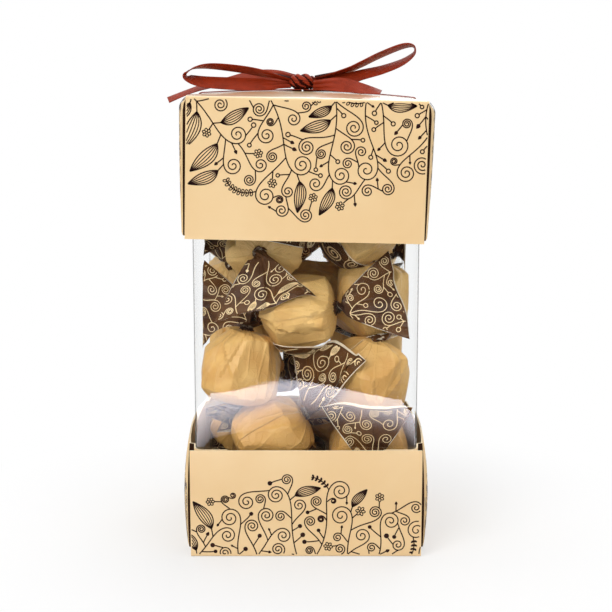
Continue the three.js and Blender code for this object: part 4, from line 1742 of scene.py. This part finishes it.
@dataclass
class RibbonBow:
    """The satin ribbon: a strap through the lid's slots, two loops, two tails and a knot.

    Where an end is gathered into the knot, it narrows and is crimped into small waves.
    """

    finishes: Finishes
    lid: Lid
    unit: float = 0.916
    width: float = 6.0
    thickness: float = 0.3
    gap: float = 0.3
    gather_l: float = 13.0
    gather_in: float = 0.32
    crimp: float = 0.55
    crimps: float = 2.6
    crimp_shift: float = 0.8
    cup: float = 0.16
    knot_x: float = -2.0
    knot_w: float = 11.0
    knot_d: float = 7.6
    knot_h: float = 6.4
    knot_square: float = 0.78
    knot_folds: float = 6.4
    knot_slant: float = 2.4
    knot_groove: float = 0.22
    knot_shade_below: float = 0.42

    def runs(self) -> list[RibbonRun]:
        """List the loops and tails as they lie.

        Returns:
            The runs.
        """
        left = (self.knot_x - self.knot_w / 2 - self.gap) / self.unit + 1.2
        right = (self.knot_x + self.knot_w / 2 + self.gap) / self.unit - 1.2
        return [
            RibbonRun("bow_loop_left", (
                (left, -0.5, 2.8, 40), (-17.5, -1.6, 2.4, 48), (-32.8, -2.2, 2.6, 50), (-44.8, -1.6, 3.2, 42),
                (-50.9, -1.1, 4.8, 26), (-51.1, -0.5, 6.8, 12), (-47.5, 0, 8.7, -6), (-40.4, 0.5, 9.4, -20),
                (-27.3, 0.5, 8.3, -26), (-15.3, 0, 6.3, -24), (left, -0.5, 5, -14)), (1.0, 1.0)),
            RibbonRun("bow_loop_right", (
                (right, -0.5, 3.5, 52), (10.3, -1.1, 4.3, 56), (16.9, -1.1, 5.7, 50), (22.9, -0.5, 7.6, 40),
                (31.7, 0, 10, 32), (39.8, 0.5, 13.3, 24), (44.5, 0.5, 17, 12), (44.1, 0.5, 19.7, -6),
                (39.3, 0.5, 19.4, -20), (30, 0.5, 15.5, -24), (22.4, 0, 11.6, -24), (15.3, -0.5, 8.5, -20),
                (right, -0.5, 5.7, -12))[::-1], (1.0, 1.0)),
            RibbonRun("bow_tail_left", (
                (left + 1.6, 4, 5, 60), (-13.1, 6, 6.3, 55), (-24, 7.4, 5.9, 45), (-34.4, 8.3, 3.7, 30),
                (-44.8, 8.1, 1, 22), (-52.4, 7.4, -1.7, 20), (-60, 6.6, -5, 24)), (0.8, 0.0)),
            RibbonRun("bow_tail_right", (
                (right - 0.7, -4.6, 2.8, 62), (8.7, -6.6, 3.2, 66), (15.3, -8.7, 3.0, 58),
                (22.9, -10.3, 1.8, 38), (30.6, -11.4, 0.5, 14))[::-1], (0.0, 0.8)),
        ]

    def strap(self) -> Points:
        """Lay the strap: over the top, down a slot, under the panel and up again.

        Returns:
            The stations, one to a row.
        """
        lid = self.lid
        over = self.gap + self.thickness / 2
        under = -lid.sizes.card - self.gap - self.thickness / 2
        bend = lid.slot_x - 2 * lid.ribbon_t
        halves = []
        for hand in HANDS:
            x = np.linspace(self.knot_x + hand * self.gap, hand * bend, 12)
            half = [(v, 0.0, lid.top(v) + over, 0.0) for v in x]
            half.append((hand * lid.slot_x, 0.0, lid.top(lid.slot_x) - lid.sizes.card / 2, 0.0))
            halves.append(half)
        below = [(v, 0.0, lid.top(v) + under, 0.0) for v in np.linspace(-bend, bend, 14)]
        return np.array(halves[0] + below + halves[1][::-1])

    @staticmethod
    def spline(stations: Points, count: int) -> Points:
        """Pass a smooth line through stations.

        Args:
            stations: the stations, one to a row.
            count: number of points.

        Returns:
            The points, evenly spread over the stations.
        """
        ends = np.concatenate([[2 * stations[0] - stations[1]], stations, [2 * stations[-1] - stations[-2]]])
        at = np.linspace(0, len(stations) - 1, count)
        i = np.minimum(at.astype(int), len(stations) - 2)
        t = (at - i)[:, None]
        p0, p1, p2, p3 = (ends[i + k] for k in range(4))
        return 0.5 * (2 * p1 + (p2 - p0) * t + (2 * p0 - 5 * p1 + 4 * p2 - p3) * t ** 2
                      + (3 * p1 - p0 - 3 * p2 + p3) * t ** 3)

    def strip(self, name: str, stations: Points, gathered: tuple[float, float], count: int) -> Piece:
        """Make one run of ribbon.

        Args:
            name: name of the piece.
            stations: x, y, z and lean of each station, in the lid's layout.
            gathered: how far the first and the last end are gathered into the knot, 0 to 1.
            count: number of rows along it.

        Returns:
            The ribbon with its thickness.
        """
        line = self.spline(stations, count)
        place, lean = line[:, :3], np.radians(line[:, 3])
        along = np.gradient(place, axis=0)
        along /= np.linalg.norm(along, axis=1, keepdims=True)
        level = lay(0.0, np.cos(lean), np.sin(lean))
        across = level - along * np.sum(level * along, 1, keepdims=True)
        across /= np.linalg.norm(across, axis=1, keepdims=True)
        face = np.cross(along, across)
        length = np.concatenate([[0.0], np.cumsum(np.linalg.norm(np.diff(place, axis=0), axis=1))])
        first, last = (much * (1 - smooth(0.0, self.gather_l, away))
                       for much, away in zip(gathered, (length, length[-1] - length)))
        pinch = np.maximum(first, last)[:, None]
        share = np.linspace(-1, 1, 17)[None, :]
        wide = self.width / 2 * (1 - self.gather_in * pinch) * share
        crimp = self.crimp * pinch * np.sin(share * self.crimps * math.pi + self.crimp_shift * pinch)
        cup = self.cup * share ** 2 * (1 - pinch)
        grid = place[:, None] + across[:, None] * wide[..., None] + face[:, None] * (crimp + cup)[..., None]
        piece = Bench.sheet(name, self.seat(grid), lay(length[:, None], self.width / 2 * share))
        Bench.thicken(piece, self.thickness, self.finishes.satin, 0.0)
        return piece

    def seat(self, points: Points) -> Points:
        """Bring points from heights over the lid's edge to their place in the box."""
        return self.lid.seat(points * [1.0, 1.0, -1.0])

    def knot(self, name: str) -> Piece:
        """Make the knot: a squared ball of ribbon with bright folds over it, and painted shade on the grooves
        between and on the faces turned down, which take the darker satin.

        Args:
            name: name of the piece.

        Returns:
            The knot.
        """
        Bench.clear()
        bpy.ops.mesh.primitive_uv_sphere_add(segments=72, ring_count=40, radius=1.0)
        piece = bpy.context.object
        piece.name = piece.data.name = name
        ball = np.array([tuple(v.co) for v in piece.data.vertices])[:, [2, 0, 1]]
        along = ball[:, 0]
        around = np.arctan2(ball[:, 2], ball[:, 1])
        fold = along * self.knot_folds + self.knot_slant * ball[:, 2] + 0.8 * np.sin(around) + 0.5
        ridge = np.abs(np.sin(fold))
        belly = 1.0 - self.knot_groove * (1 - ridge ** 0.7) * (1 - np.abs(along) ** 6)
        waist = 1.04 - 0.2 * np.abs(along) ** 2
        half = np.array([self.knot_w, self.knot_d, self.knot_h]) / 2
        place = np.sign(ball) * np.abs(ball) ** self.knot_square * half
        place[:, 1:] *= (belly * waist)[:, None]
        place += [self.knot_x, 0.0, self.lid.rise + self.gap + self.knot_h / 2]
        Bench.set_points(piece, self.seat(place), lay(around * self.knot_h / 2, along * self.knot_w / 2))
        Bench.face_out(piece)
        # painted shade: grooves and downward faces take the darker copy of the satin
        for face in piece.data.polygons:
            deep = np.mean(ridge[list(face.vertices)]) < self.knot_shade_below or face.normal.z < -0.25
            face.material_index = int(deep)
        for material in self.finishes.satin[:2]:
            piece.data.materials.append(material)
        return piece

    def build(self) -> None:
        """Make and dress every run and the knot."""
        pieces = []
        for run in self.runs():
            stations = np.array(run.stations) * [self.unit, self.unit, self.unit, 1.0]
            stations[:, 2] += self.lid.rise
            pieces.append(self.strip(run.name + "_satin", stations, run.gathered, 140))
        pieces.append(self.strip("ribbon_strap_satin", self.strap(), (0.5, 0.5), 200))
        pieces.append(self.knot("bow_knot_satin"))
        for piece in pieces:
            Bench.shade(piece, 60)
            Bench.fit(piece, Body.LID, Slot.RIBBON, [piece.name.removesuffix("_satin")])


@dataclass(frozen=True)
class FanLie:
    """How an opened end lies: in degrees its bend, the way it bends and the turn of its flat."""

    bend: float
    toward: float
    turn: float
    curl: float = 0.0
    spread: float = 1.0
    reach: float = 1.0


@dataclass(frozen=True)
class TruffleLie:
    """How a truffle lies: its heading, its far end's rise, its opened ends and the print's shift."""

    heading: float
    rise: float
    minus: FanLie
    plus: FanLie
    shift: float = 0.0

    def end(self, side: Side) -> FanLie:
        """Give how one of its ends lies."""
        return self.plus if side is Side.PLUS else self.minus

    def frame(self) -> Points:
        """Find the truffle's own directions.

        Returns:
            The directions as columns: along, level and up.
        """
        h, r = math.radians(self.heading), math.radians(self.rise)
        along = np.array([math.cos(h) * math.cos(r), math.sin(h) * math.cos(r), math.sin(r)])
        level = np.array([-math.sin(h), math.cos(h), 0.0])
        return np.stack([along, level, np.cross(along, level)], 1)


TRUFFLES: tuple[TruffleLie, ...] = (
    TruffleLie(15, 0, FanLie(70, 0, 90), FanLie(20, 0, 60)),
    TruffleLie(-8, 0, FanLie(20, 180, 30), FanLie(15, 90, 60)),
    TruffleLie(10, 0, FanLie(20, 0, 40), FanLie(70, 180, 90)),
    TruffleLie(170, 0, FanLie(20, 180, 30), FanLie(15, 90, 60)),
    TruffleLie(0, 34, FanLie(30, -90, 80), FanLie(44, 110, 90, 0.4, 0.95, 1.34)),
    TruffleLie(84, 6, FanLie(80, 90, 4), FanLie(30, 90, 20)),
    TruffleLie(180, 35, FanLie(30, -90, 80), FanLie(8, -90, 88, 0.3, 1.1)),
    TruffleLie(262, 8, FanLie(80, 90, 8), FanLie(30, 90, 20)),
    TruffleLie(30, 78, FanLie(80, -53, 90), FanLie(80, -30, 60)),
    TruffleLie(-40, 80, FanLie(60, 60, 150), FanLie(86, 20, 110)),
    TruffleLie(210, 76, FanLie(60, 0, 90), FanLie(45, 0, 100)),
    TruffleLie(130, 82, FanLie(60, 60, 150), FanLie(60, 20, 110)),
    TruffleLie(-12, 8, FanLie(18, 90, 80), FanLie(6, 90, 84)),
    TruffleLie(95, 84, FanLie(100, -90, 0), FanLie(55, 0, 80)),
    TruffleLie(168, 6, FanLie(12, 60, 62), FanLie(6, 90, 84)),
    TruffleLie(250, 30, FanLie(70, 90, 0), FanLie(20, 90, 10)),
    TruffleLie(84, 10, FanLie(72, -96, 8, 0.6, 1.12, 0.9), FanLie(60, 90, 0), 0.3),
    TruffleLie(24, 22, FanLie(69, 90, 90, 0.4, 1.0, 0.9), FanLie(60, 90, 0)),
    TruffleLie(150, 10, FanLie(30, 90, 70), FanLie(12, -90, 84)),
    TruffleLie(20, 8, FanLie(10, 90, 40), FanLie(20, 90, 120)),
)


@dataclass(frozen=True)
class WrapperSizes:
    """Sizes that all wrappers share."""

    body_r: float = 14.6
    body_l: float = 14.2
    full_r: float = 17.2
    widest: float = 15.3
    power: float = 2.6
    neck_r: float = 2.2
    neck_reach: float = 2.6
    fan_l: float = 23.0
    fan_w: float = 34.0
    fan_arc: float = 0.985
    paper: float = 0.14
    lap: float = 0.5
    lap_rise: float = 0.4
    lap_ease: float = 0.25
    corners: int = 4
    laps: int = 8
    pleats: int = 11
    pleat_w: float = 0.19
    pleat_d: float = 0.12
    ball: float = 11.0
    ball_gap: float = 0.25
    body_gap: tuple[float, float] = (1.0, 0.5)
    largest_step: float = 2.5
    room: float = 40.35
    floor: float = 1.0
    roof: float = 168.0

    @property
    def neck_at(self) -> float:
        """Give how far the tightest part of a neck is from the middle."""
        return self.body_l + self.neck_reach

    def fan_half(self, share: Points) -> Points:
        """Give half the width of an opened end, at a share of its length."""
        return self.neck_r + (self.fan_w / 2 - self.neck_r) * np.maximum(share, 0.0) ** 0.8

    def on_fan(self, points: Points, low: float, past: float, share: float, wider: float) -> Points:
        """Tell which pattern points are on an opened end.

        Args:
            points: the pattern points.
            low: where it begins.
            past: how far past its end they may be.
            share: share of its width that counts.
            wider: how far past that they may be.

        Returns:
            Whether each point is on it.
        """
        x, y = points[:, 0], points[:, 1]
        wide = self.fan_half(y / self.fan_l) * share + wider
        return (y > low) & (y < self.fan_l + past) & (np.abs(x) < wide)


@dataclass
class WrappedTruffle:
    """One truffle in its twisted paper."""

    finishes: Finishes
    number: int
    lie: TruffleLie
    centre: Points
    sizes: WrapperSizes = WrapperSizes()
    columns: int = 105
    fan_rows: int = 15
    neck_rows: int = 7
    body_rows: int = 35

    def __post_init__(self) -> None:
        """Set up chance and the truffle's directions."""
        self.chance = random.Random(self.number * 7 + 1)
        self.axes = self.lie.frame()
        self.phase = self.chance.uniform(0, TURN)
        self.angles = np.linspace(0.0, TURN + self.sizes.lap, self.columns)

    def body_rings(self) -> tuple[Points, Points]:
        """Shape the paper round the truffle: flat facets between sharp folds, gathered at both ends.

        Returns:
            Points by rows and columns in the truffle's own directions, and their places along it.
        """
        s, draw = self.sizes, self.chance.uniform
        share = np.sin(np.linspace(-math.pi / 2, math.pi / 2, self.body_rows) * 0.98)
        along = share * s.body_l
        a = self.angles[None, :]
        radius = s.full_r * np.maximum(1 - np.abs(share) ** s.power, 0.0) ** (1 / s.power)
        radius = np.maximum(radius, s.neck_r)[:, None] * np.ones_like(a)
        count = self.chance.randint(5, 6)
        for k in range(count):
            turn = TURN * (k + draw(-0.2, 0.2)) / count
            tilt = draw(-0.3, 0.3)
            radius = self.press(radius, along, turn, tilt, draw(0.70, 0.80))
        for _ in range(s.corners):
            turn = draw(0, TURN)
            tilt = self.chance.choice(HANDS) * draw(0.6, 1.0)
            radius = self.press(radius, along, turn, tilt, draw(0.76, 0.86))
        radius = np.minimum(radius, s.widest - 0.5) + self.ridges(along)
        pleat = np.zeros_like(a)
        for _ in range(s.pleats):
            at, size = draw(0, TURN), draw(0.3, 1.0)
            gap = np.abs((a - at + math.pi) % TURN - math.pi)
            pleat = pleat + size * np.maximum(1 - gap / s.pleat_w, 0.0)
        gather = smooth(0.15, 1.0, np.abs(share))[:, None]
        radius = radius * (1 - s.pleat_d * gather * pleat)
        radius += s.lap_rise * smooth(TURN - s.lap_ease, TURN, a)
        ball = np.sqrt(np.maximum(s.ball ** 2 - along ** 2, 0.0))[:, None] + s.ball_gap
        radius = np.maximum(radius, ball)
        turned = a + self.phase
        return lay(along[:, None], radius * np.cos(turned), radius * np.sin(turned)), along

    def press(self, radius: Points, along: Points, turn: float, tilt: float, depth: float) -> Points:
        """Press one flat facet into the paper.

        Args:
            radius: the paper's radii by rows and columns.
            along: places of the rows.
            turn: the way round that the facet faces.
            tilt: how far it leans to an end.
            depth: its distance from the middle, as a share of the full radius.

        Returns:
            The new radii.
        """
        facing = np.cos(self.angles[None, :] - turn) * math.cos(tilt)
        limit = (depth * self.sizes.full_r - along[:, None] * math.sin(tilt)) / np.maximum(facing, 1e-3)
        pressed = np.minimum(radius, np.maximum(limit, self.sizes.neck_r))
        return np.where(facing > 0.15, pressed, radius)

    def ridges(self, along: Points) -> Points:
        """Draw lapped folds over the paper, each with one sharp edge.

        Args:
            along: places of the rows.

        Returns:
            Heights by rows and columns.
        """
        draw = self.chance.uniform
        high = np.zeros((len(along), self.columns))
        for number in range(self.sizes.laps):
            at, place, lean = draw(0, TURN), draw(-10, 10), draw(-0.75, 0.75)
            over = ((self.angles - at + math.pi) % TURN - math.pi)[None, :] * self.sizes.body_r
            ahead = (along - place)[:, None]
            away = (over * math.cos(lean) + ahead * math.sin(lean)) * (-1) ** number
            lap = smooth(-0.6, 0.1, away) * np.maximum(1 - np.maximum(away, 0.0) / draw(4.0, 8.0), 0.0)
            high += draw(0.6, 1.3) * lap * (1 - smooth(9.0, 17.0, np.hypot(over, ahead)))
        return high

    def fan_axes(self, side: Side) -> tuple[Points, Points, Points, float]:
        """Give an opened end's directions, in the truffle's own.

        Args:
            side: which end.

        Returns:
            The ways out, across and off its face, and the twist of its neck.
        """
        fan = self.lie.end(side)
        b, t = math.radians(fan.bend), math.radians(fan.toward)
        f = math.radians((fan.turn + 90) % 180 - 90)
        out = np.array([side.value * math.cos(b), math.sin(b) * math.cos(t), math.sin(b) * math.sin(t)])
        flat = np.array([0.0, math.cos(f), math.sin(f)])
        across = flat - out * (flat @ out)
        across /= np.linalg.norm(across)
        return out, across, np.cross(out, across) * side.value, f

    def fan_rings(self, side: Side) -> tuple[Points, Points]:
        """Shape one neck and its opened end, from the body outwards.

        Args:
            side: which end.

        Returns:
            Points by rows and columns in the truffle's own directions, and their places along it.
        """
        s, fan, draw = self.sizes, self.lie.end(side), self.chance.uniform
        out, across, face, twist = self.fan_axes(side)
        neck = np.array([side.value * s.neck_at, 0.0, 0.0])
        a = self.angles
        rope = 1 + 0.16 * np.sin(a * 5 + draw(0, 6))
        rings, places = [], []
        wind = twist + math.pi * self.chance.choice(HANDS)
        for q in np.linspace(0.0, 1.0, self.neck_rows + 1)[:-1]:
            turned = a + self.phase + (wind - self.phase) * q * q
            radius = s.neck_r * (1.25 - 0.35 * q) * rope
            at = side.value * (s.body_l + s.neck_reach * q * 0.9 + 0.05)
            rings.append(lay(at, radius * np.cos(turned), radius * np.sin(turned)))
            places.append(at)
        u = np.arcsin(s.fan_arc * np.cos(a)) / math.asin(s.fan_arc)
        nodes = np.sort([-1.0, 1.0] + [draw(-0.85, 0.85) for _ in range(4)])
        pleat = np.interp(u, nodes, [draw(0.4, 1.5) * (-1) ** k for k in range(6)])
        skew, wave = draw(-0.12, 0.12), draw(0, 6)
        curl = fan.curl or draw(-1.5, 2.5)
        for q in np.linspace(0.0, 1.0, self.fan_rows + 1)[1:]:
            wide = s.fan_half(q) * fan.spread
            flat = min(3.2 * q, 1.0)
            thick = s.neck_r * (1 - flat) + (0.35 + 0.9 * q * q) * flat
            x = (1 - flat) * wide * np.cos(a) + flat * wide * u
            y = thick * np.sin(a) + pleat * q ** 0.8 + curl * q * q * (0.6 + 0.4 * np.sin(2 * u + wave))
            far = q * s.fan_l * fan.reach * (1 + skew * u + 0.025 * np.sin(5 * u + wave) * q)
            rings.append(neck + far[:, None] * out + x[:, None] * across + y[:, None] * face)
            places.append(side.value * (s.neck_at + q * s.fan_l))
        return np.array(rings), np.array(places)

    def paper_grid(self, others: Sequence["WrappedTruffle"]) -> tuple[Points, Points]:
        """Lay out the whole wrapper in the box, with its ends giving way to what they meet.

        Args:
            others: all the other truffles.

        Returns:
            Points by rows and columns in the box, and pattern places.
        """
        s = self.sizes
        middle, along = self.body_rings()
        minus, minus_at = self.fan_rings(Side.MINUS)
        plus, plus_at = self.fan_rings(Side.PLUS)
        grid = np.concatenate([minus[::-1], middle, plus])
        places = np.concatenate([minus_at[::-1], along, plus_at])
        grid = grid @ self.axes.T + self.centre
        fixed = np.ones(len(grid), bool)
        ends = self.fan_rows + self.neck_rows - 3
        fixed[:ends] = fixed[-ends:] = False
        for rounds, passes in ((7, 3), (4, 0)):
            for _ in range(rounds):
                push = self.twin_moves(self._push(grid, others, passes))
                push[fixed] = 0.0
                grid = grid + push
        low, high = np.array([-s.room, -s.room, s.floor]), np.array([s.room, s.room, s.roof])
        back = self.twin_moves(np.clip(grid, low, high) - grid)
        back[fixed] = 0.0
        under = s.lap_rise * (1 - smooth(s.lap, s.lap + s.lap_ease, self.angles))
        tuck = np.where(fixed[:, None], under[None, :], 0.0)[:, :, None]
        grid = np.clip(grid + back, low + tuck, high - tuck)
        return grid, lay((self.angles * s.body_r)[None, :], places[:, None] + self.lie.shift)

    def twin_moves(self, moves: Points) -> Points:
        """Let the two layers of an opened end move alike, by the larger of their moves.

        Args:
            moves: the moves by rows and columns.

        Returns:
            The moves of both layers.
        """
        column = (-self.angles) % TURN / self.angles[-1] * (self.columns - 1)
        i = np.minimum(column.astype(int), self.columns - 2)
        part = (column - i)[None, :, None]
        twin = (1 - part) * moves[:, i] + part * moves[:, i + 1]
        return np.where(np.abs(twin) > np.abs(moves), twin, moves)

    def _push(self, grid: Points, others: Sequence["WrappedTruffle"], passes: int) -> Points:
        """Work out how points move to leave the other wrapped bodies.

        Args:
            grid: the sheet's points.
            others: all the other truffles.
            passes: how often the moves are smoothed over the sheet.

        Returns:
            The moves.
        """
        s = self.sizes
        length, radius = s.body_l + s.body_gap[0], s.widest + s.body_gap[1]
        push = np.zeros_like(grid)
        for other in others:
            local = (grid - other.centre) @ other.axes
            r = np.linalg.norm(local[..., 1:], axis=-1)
            depth = (np.abs(local[..., 0]) / length) ** s.power + (r / radius) ** s.power
            grow = np.where(depth < 1.0, np.maximum(depth, 0.02) ** (-1 / s.power) - 1.0, 0.0)
            push += np.clip(local * grow[..., None], -s.largest_step, s.largest_step) @ other.axes.T
        for _ in range(passes):
            side = np.pad(push, ((1, 1), (1, 1), (0, 0)), mode="edge")
            push = 0.4 * push + 0.15 * (side[:-2, 1:-1] + side[2:, 1:-1] + side[1:-1, :-2] + side[1:-1, 2:])
        return push

    def fan_surface(self, grid: Points, out: Points, side: Side, back: bool) -> Surface:
        """Give an opened end's printed face for pattern points.

        Args:
            grid: the finished sheet.
            out: its outward directions.
            side: which end.
            back: whether it is the face turned from the first.

        Returns:
            The surface; pattern y runs from the neck outwards.
        """
        s = self.sizes

        def surface(points: Points) -> tuple[Points, Points]:
            """Place pattern points on the sheet and give the ways off it."""
            q = np.clip(points[:, 1] / s.fan_l, 0.0, 1.0)
            u = np.clip(points[:, 0] / s.fan_half(q), -1.0, 1.0)
            angle = np.arccos(np.clip(np.sin(u * math.asin(s.fan_arc)) / s.fan_arc, -1.0, 1.0))
            angle = TURN - angle if back else angle
            column = angle / self.angles[-1] * (self.columns - 1)
            step = self.fan_rows * (1 - q)
            row = step if side is Side.MINUS else len(grid) - 1 - step
            return self.look_up(grid, row, column), self.look_up(out, row, column)
        return surface

    @staticmethod
    def look_up(table: Points, row: Points, column: Points) -> Points:
        """Read a table of points between its rows and columns.

        Args:
            table: the table.
            row: places down it.
            column: places across it.

        Returns:
            The points there.
        """
        i = np.clip(row.astype(int), 0, table.shape[0] - 2)
        j = np.clip(column.astype(int), 0, table.shape[1] - 2)
        r, c = (row - i)[:, None], (column - j)[:, None]
        return ((1 - r) * (1 - c) * table[i, j] + (1 - r) * c * table[i, j + 1]
                + r * (1 - c) * table[i + 1, j] + r * c * table[i + 1, j + 1])

    def build(self, others: Sequence["WrappedTruffle"], patches: Sequence[ScrollPrint]) -> None:
        """Make and dress the wrapper, its print and the truffle inside.

        Args:
            others: all the other truffles.
            patches: patterns for the opened ends.
        """
        grid, uv = self.paper_grid(others)
        out = np.cross(np.gradient(grid, axis=1), np.gradient(grid, axis=0))
        out = out / np.maximum(np.linalg.norm(out, axis=2, keepdims=True), 1e-9)
        middle = len(grid) // 2
        if np.sum(out[middle] * (grid[middle] - self.centre)) < 0:
            out = -out
        name, back = f"wrapper_{self.number:02d}", self.finishes.paper_back
        paper = Bench.sheet(f"{name}_paper", grid, uv)
        face = paper.data.polygons[middle * (self.columns - 1)]
        if face.normal.dot(Vector(face.center) - Vector(self.centre) * MM) < 0:
            paper.data.flip_normals()
        Bench.thicken(paper, self.sizes.paper, [self.finishes.wrapper, back, back])
        Bench.shade(paper, 18)
        Bench.fit(paper, Body.BASE, Slot.PAPER, [name])
        work = InkWork(f"{name}_print", 0.05)
        faces = [(side, turned) for side in Side for turned in (False, True)]
        for number, (side, turned) in enumerate(faces, self.number):
            work.patch(patches[number % len(patches)], self.fan_surface(grid, out, side, turned),
                       lambda points: self.sizes.on_fan(points, 2.5, -0.5, 0.95, 0.0))
        Bench.fit(work.make(self.finishes.pale_ink), Body.BASE, Slot.PAPER)
        self.chocolate(f"truffle_{self.number:02d}")

    def chocolate(self, node: str) -> None:
        """Make the lumpy ball inside the paper.

        Args:
            node: the node of the frame that it stands for.
        """
        Bench.clear()
        bpy.ops.mesh.primitive_ico_sphere_add(subdivisions=4, radius=self.sizes.ball * MM)
        ball = bpy.context.object
        ball.name = ball.data.name = f"{node}_ball"
        for vertex in ball.data.vertices:
            lump = noise.noise(Vector(vertex.co) * 190 + Vector((self.number, 0, 0)))
            vertex.co = vertex.co * (0.95 + 0.03 * lump) + Vector(self.centre) * MM
        Bench.shade(ball, 60)
        Bench.dress(ball, [self.finishes.chocolate])
        Bench.fit(ball, Body.BASE, Slot.CHOCOLATE, [node])


class TruffleFill:
    """All the truffles in the box."""

    def __init__(self, finishes: Finishes) -> None:
        """Find each truffle's middle in the frame.

        Args:
            finishes: the finishes.
        """
        self.truffles = []
        for number, lie in enumerate(TRUFFLES, 1):
            low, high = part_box(f"truffle_{number:02d}")
            centre = np.array([(a + b) / 2 / MM for a, b in zip(low, high)])
            self.truffles.append(WrappedTruffle(finishes, number, lie, centre))

    @staticmethod
    def patches() -> list[ScrollPrint]:
        """Draw the patterns of the opened ends.

        Returns:
            The drawn patches.
        """
        roots = [(0.0, 3.0, math.pi / 2 + t) for t in (-0.5, 0.05, 0.5)]
        roots += [(x, 23.5, -math.pi / 2) for x in (-9.0, 1.0, 10.0)]
        sizes = WrapperSizes()
        return [ScrollPrint(36.0, 26.0, seed, roots, lambda p: sizes.on_fan(p, 1.0, 1.5, 1.0, 1.5),
                            lambda x: 13.0, line=0.26, largest=0.9, clear=0.85).grow()
                for seed in (5, 12, 23)]

    def build(self) -> None:
        """Make and dress every truffle."""
        patches = self.patches()
        for truffle in self.truffles:
            truffle.build([t for t in self.truffles if t is not truffle], patches)


@dataclass(frozen=True)
class Lamp:
    """A soft square lamp, in metres and watts."""

    name: str
    place: tuple[float, float, float]
    size: float
    power: float


LAMPS: tuple[Lamp, ...] = (
    Lamp("key", (-0.7, -1.0, 0.9), 0.8, 10.8),
    Lamp("fill", (0.9, -0.9, 0.6), 0.9, 3.2),
    Lamp("top", (0.0, 0.1, 1.3), 1.0, 7.0),
    Lamp("rear", (0.4, 1.1, 0.7), 0.9, 4.5),
)


@dataclass
class Studio:
    """Floor, lamps and lens in metres, and a lit sheet in front, in millimetres."""

    sensor: float = 36.0
    focal: float = 1311 / 612 * 36
    distance: float = 0.480
    pitch: float = math.radians(9.67)
    look_y: float = -0.044
    look_z: float = 0.0962
    aim_z: float = 0.09
    ambient: float = 0.3
    floor_w: float = 8.0
    floor_z: float = -0.0001
    sheet_half: float = 120.0
    sheet_l: float = 105.0
    sheet_far: float = -332.0
    sheet_x: float = -9.0
    sheet_bend: float = 12.0
    sheet_slope: float = 0.95

    def build(self) -> None:
        """Set up the whole studio."""
        self.lens()
        self.floor()
        self.front_sheet()
        self.lamps()
        self.world()
        bpy.context.scene.view_settings.view_transform = "Standard"

    def lens(self) -> None:
        """Set the camera at the photograph's angle."""
        data = bpy.data.cameras.new("lens")
        data.lens = self.focal
        data.sensor_width = self.sensor
        camera = bpy.data.objects.new("lens", data)
        bpy.context.scene.collection.objects.link(camera)
        camera.location = (0.0, self.look_y - self.distance * math.cos(self.pitch),
                           self.look_z + self.distance * math.sin(self.pitch))
        camera.rotation_euler = (math.pi / 2 - self.pitch, 0.0, 0.0)
        bpy.context.scene.camera = camera

    def floor(self) -> None:
        """Lay the floor."""
        Bench.clear()
        bpy.ops.mesh.primitive_plane_add(size=self.floor_w, location=(0, 0, self.floor_z))
        floor = bpy.context.object
        floor.name = floor.data.name = "floor"
        bpy.ops.object.transform_apply(location=True, rotation=False, scale=False)
        Bench.dress(floor, [FloorFinish("white_floor", (0.9, 0.9, 0.9, 1.0), 0.5).make()])

    def front_sheet(self) -> None:
        """Lay a lit sheet in front of the box, which only the film and the varnish mirror."""
        x = np.linspace(-self.sheet_half, self.sheet_half, 61)[None, :]
        share = np.linspace(0.0, 1.0, 9)[:, None]
        bow = np.hypot(x - self.sheet_x, self.sheet_bend) - self.sheet_bend
        y = self.sheet_far + self.sheet_slope * bow + self.sheet_l * share
        sheet = Bench.sheet("front_sheet", lay(x, y, 1.0), lay(x, share))
        Bench.dress(sheet, [GlowFinish("sheet_glow", (13.0, 0.3), (0.93, 0.90, 1.0, 1.0)).make()])
        for sight in ("camera", "diffuse", "shadow", "transmission", "volume_scatter"):
            setattr(sheet, f"visible_{sight}", False)

    def lamps(self) -> None:
        """Hang the soft lamps."""
        for lamp in LAMPS:
            data = bpy.data.lights.new(lamp.name, "AREA")
            data.shape = "SQUARE"
            data.size = lamp.size
            data.energy = lamp.power
            light = bpy.data.objects.new(lamp.name, data)
            bpy.context.scene.collection.objects.link(light)
            light.location = lamp.place
            aim = Vector((0, 0, self.aim_z)) - Vector(lamp.place)
            light.rotation_euler = aim.to_track_quat("-Z", "Y").to_euler()

    def world(self) -> None:
        """Make the surroundings: white to the lens and through the film, dim as light."""
        world = bpy.data.worlds.new("studio")
        bpy.context.scene.world = world
        world.use_nodes = True
        desk = NodeDesk(world.node_tree)
        bounced, seen = desk.sight()
        depth = desk.split(desk.add("TexCoord").outputs["Generated"])[1]
        mirrored = desk.mix(bounced, (self.ambient,) * 3 + (1.0,), desk.ramp(depth, -0.2, 0.3, 0.12, 1.0))
        back = desk.put(desk.add("Background"), Color=desk.mix(seen, mirrored, WHITE), Strength=1.0)
        desk.put(desk.add("OutputWorld"), Surface=back.outputs[0])


def main() -> None:
    """Build the studio and the object, piece by piece."""
    logging.basicConfig(level=logging.INFO, format="%(name)s: %(message)s")
    Studio().build()
    finishes = Finishes()
    lid = Lid(finishes)
    shells = BaseTray(finishes), ClearSleeve(finishes), lid
    for part in (*shells, RibbonBow(finishes, lid), TruffleFill(finishes)):
        part.build()
    Bench.clear()


if __name__ == "__main__":
    main()
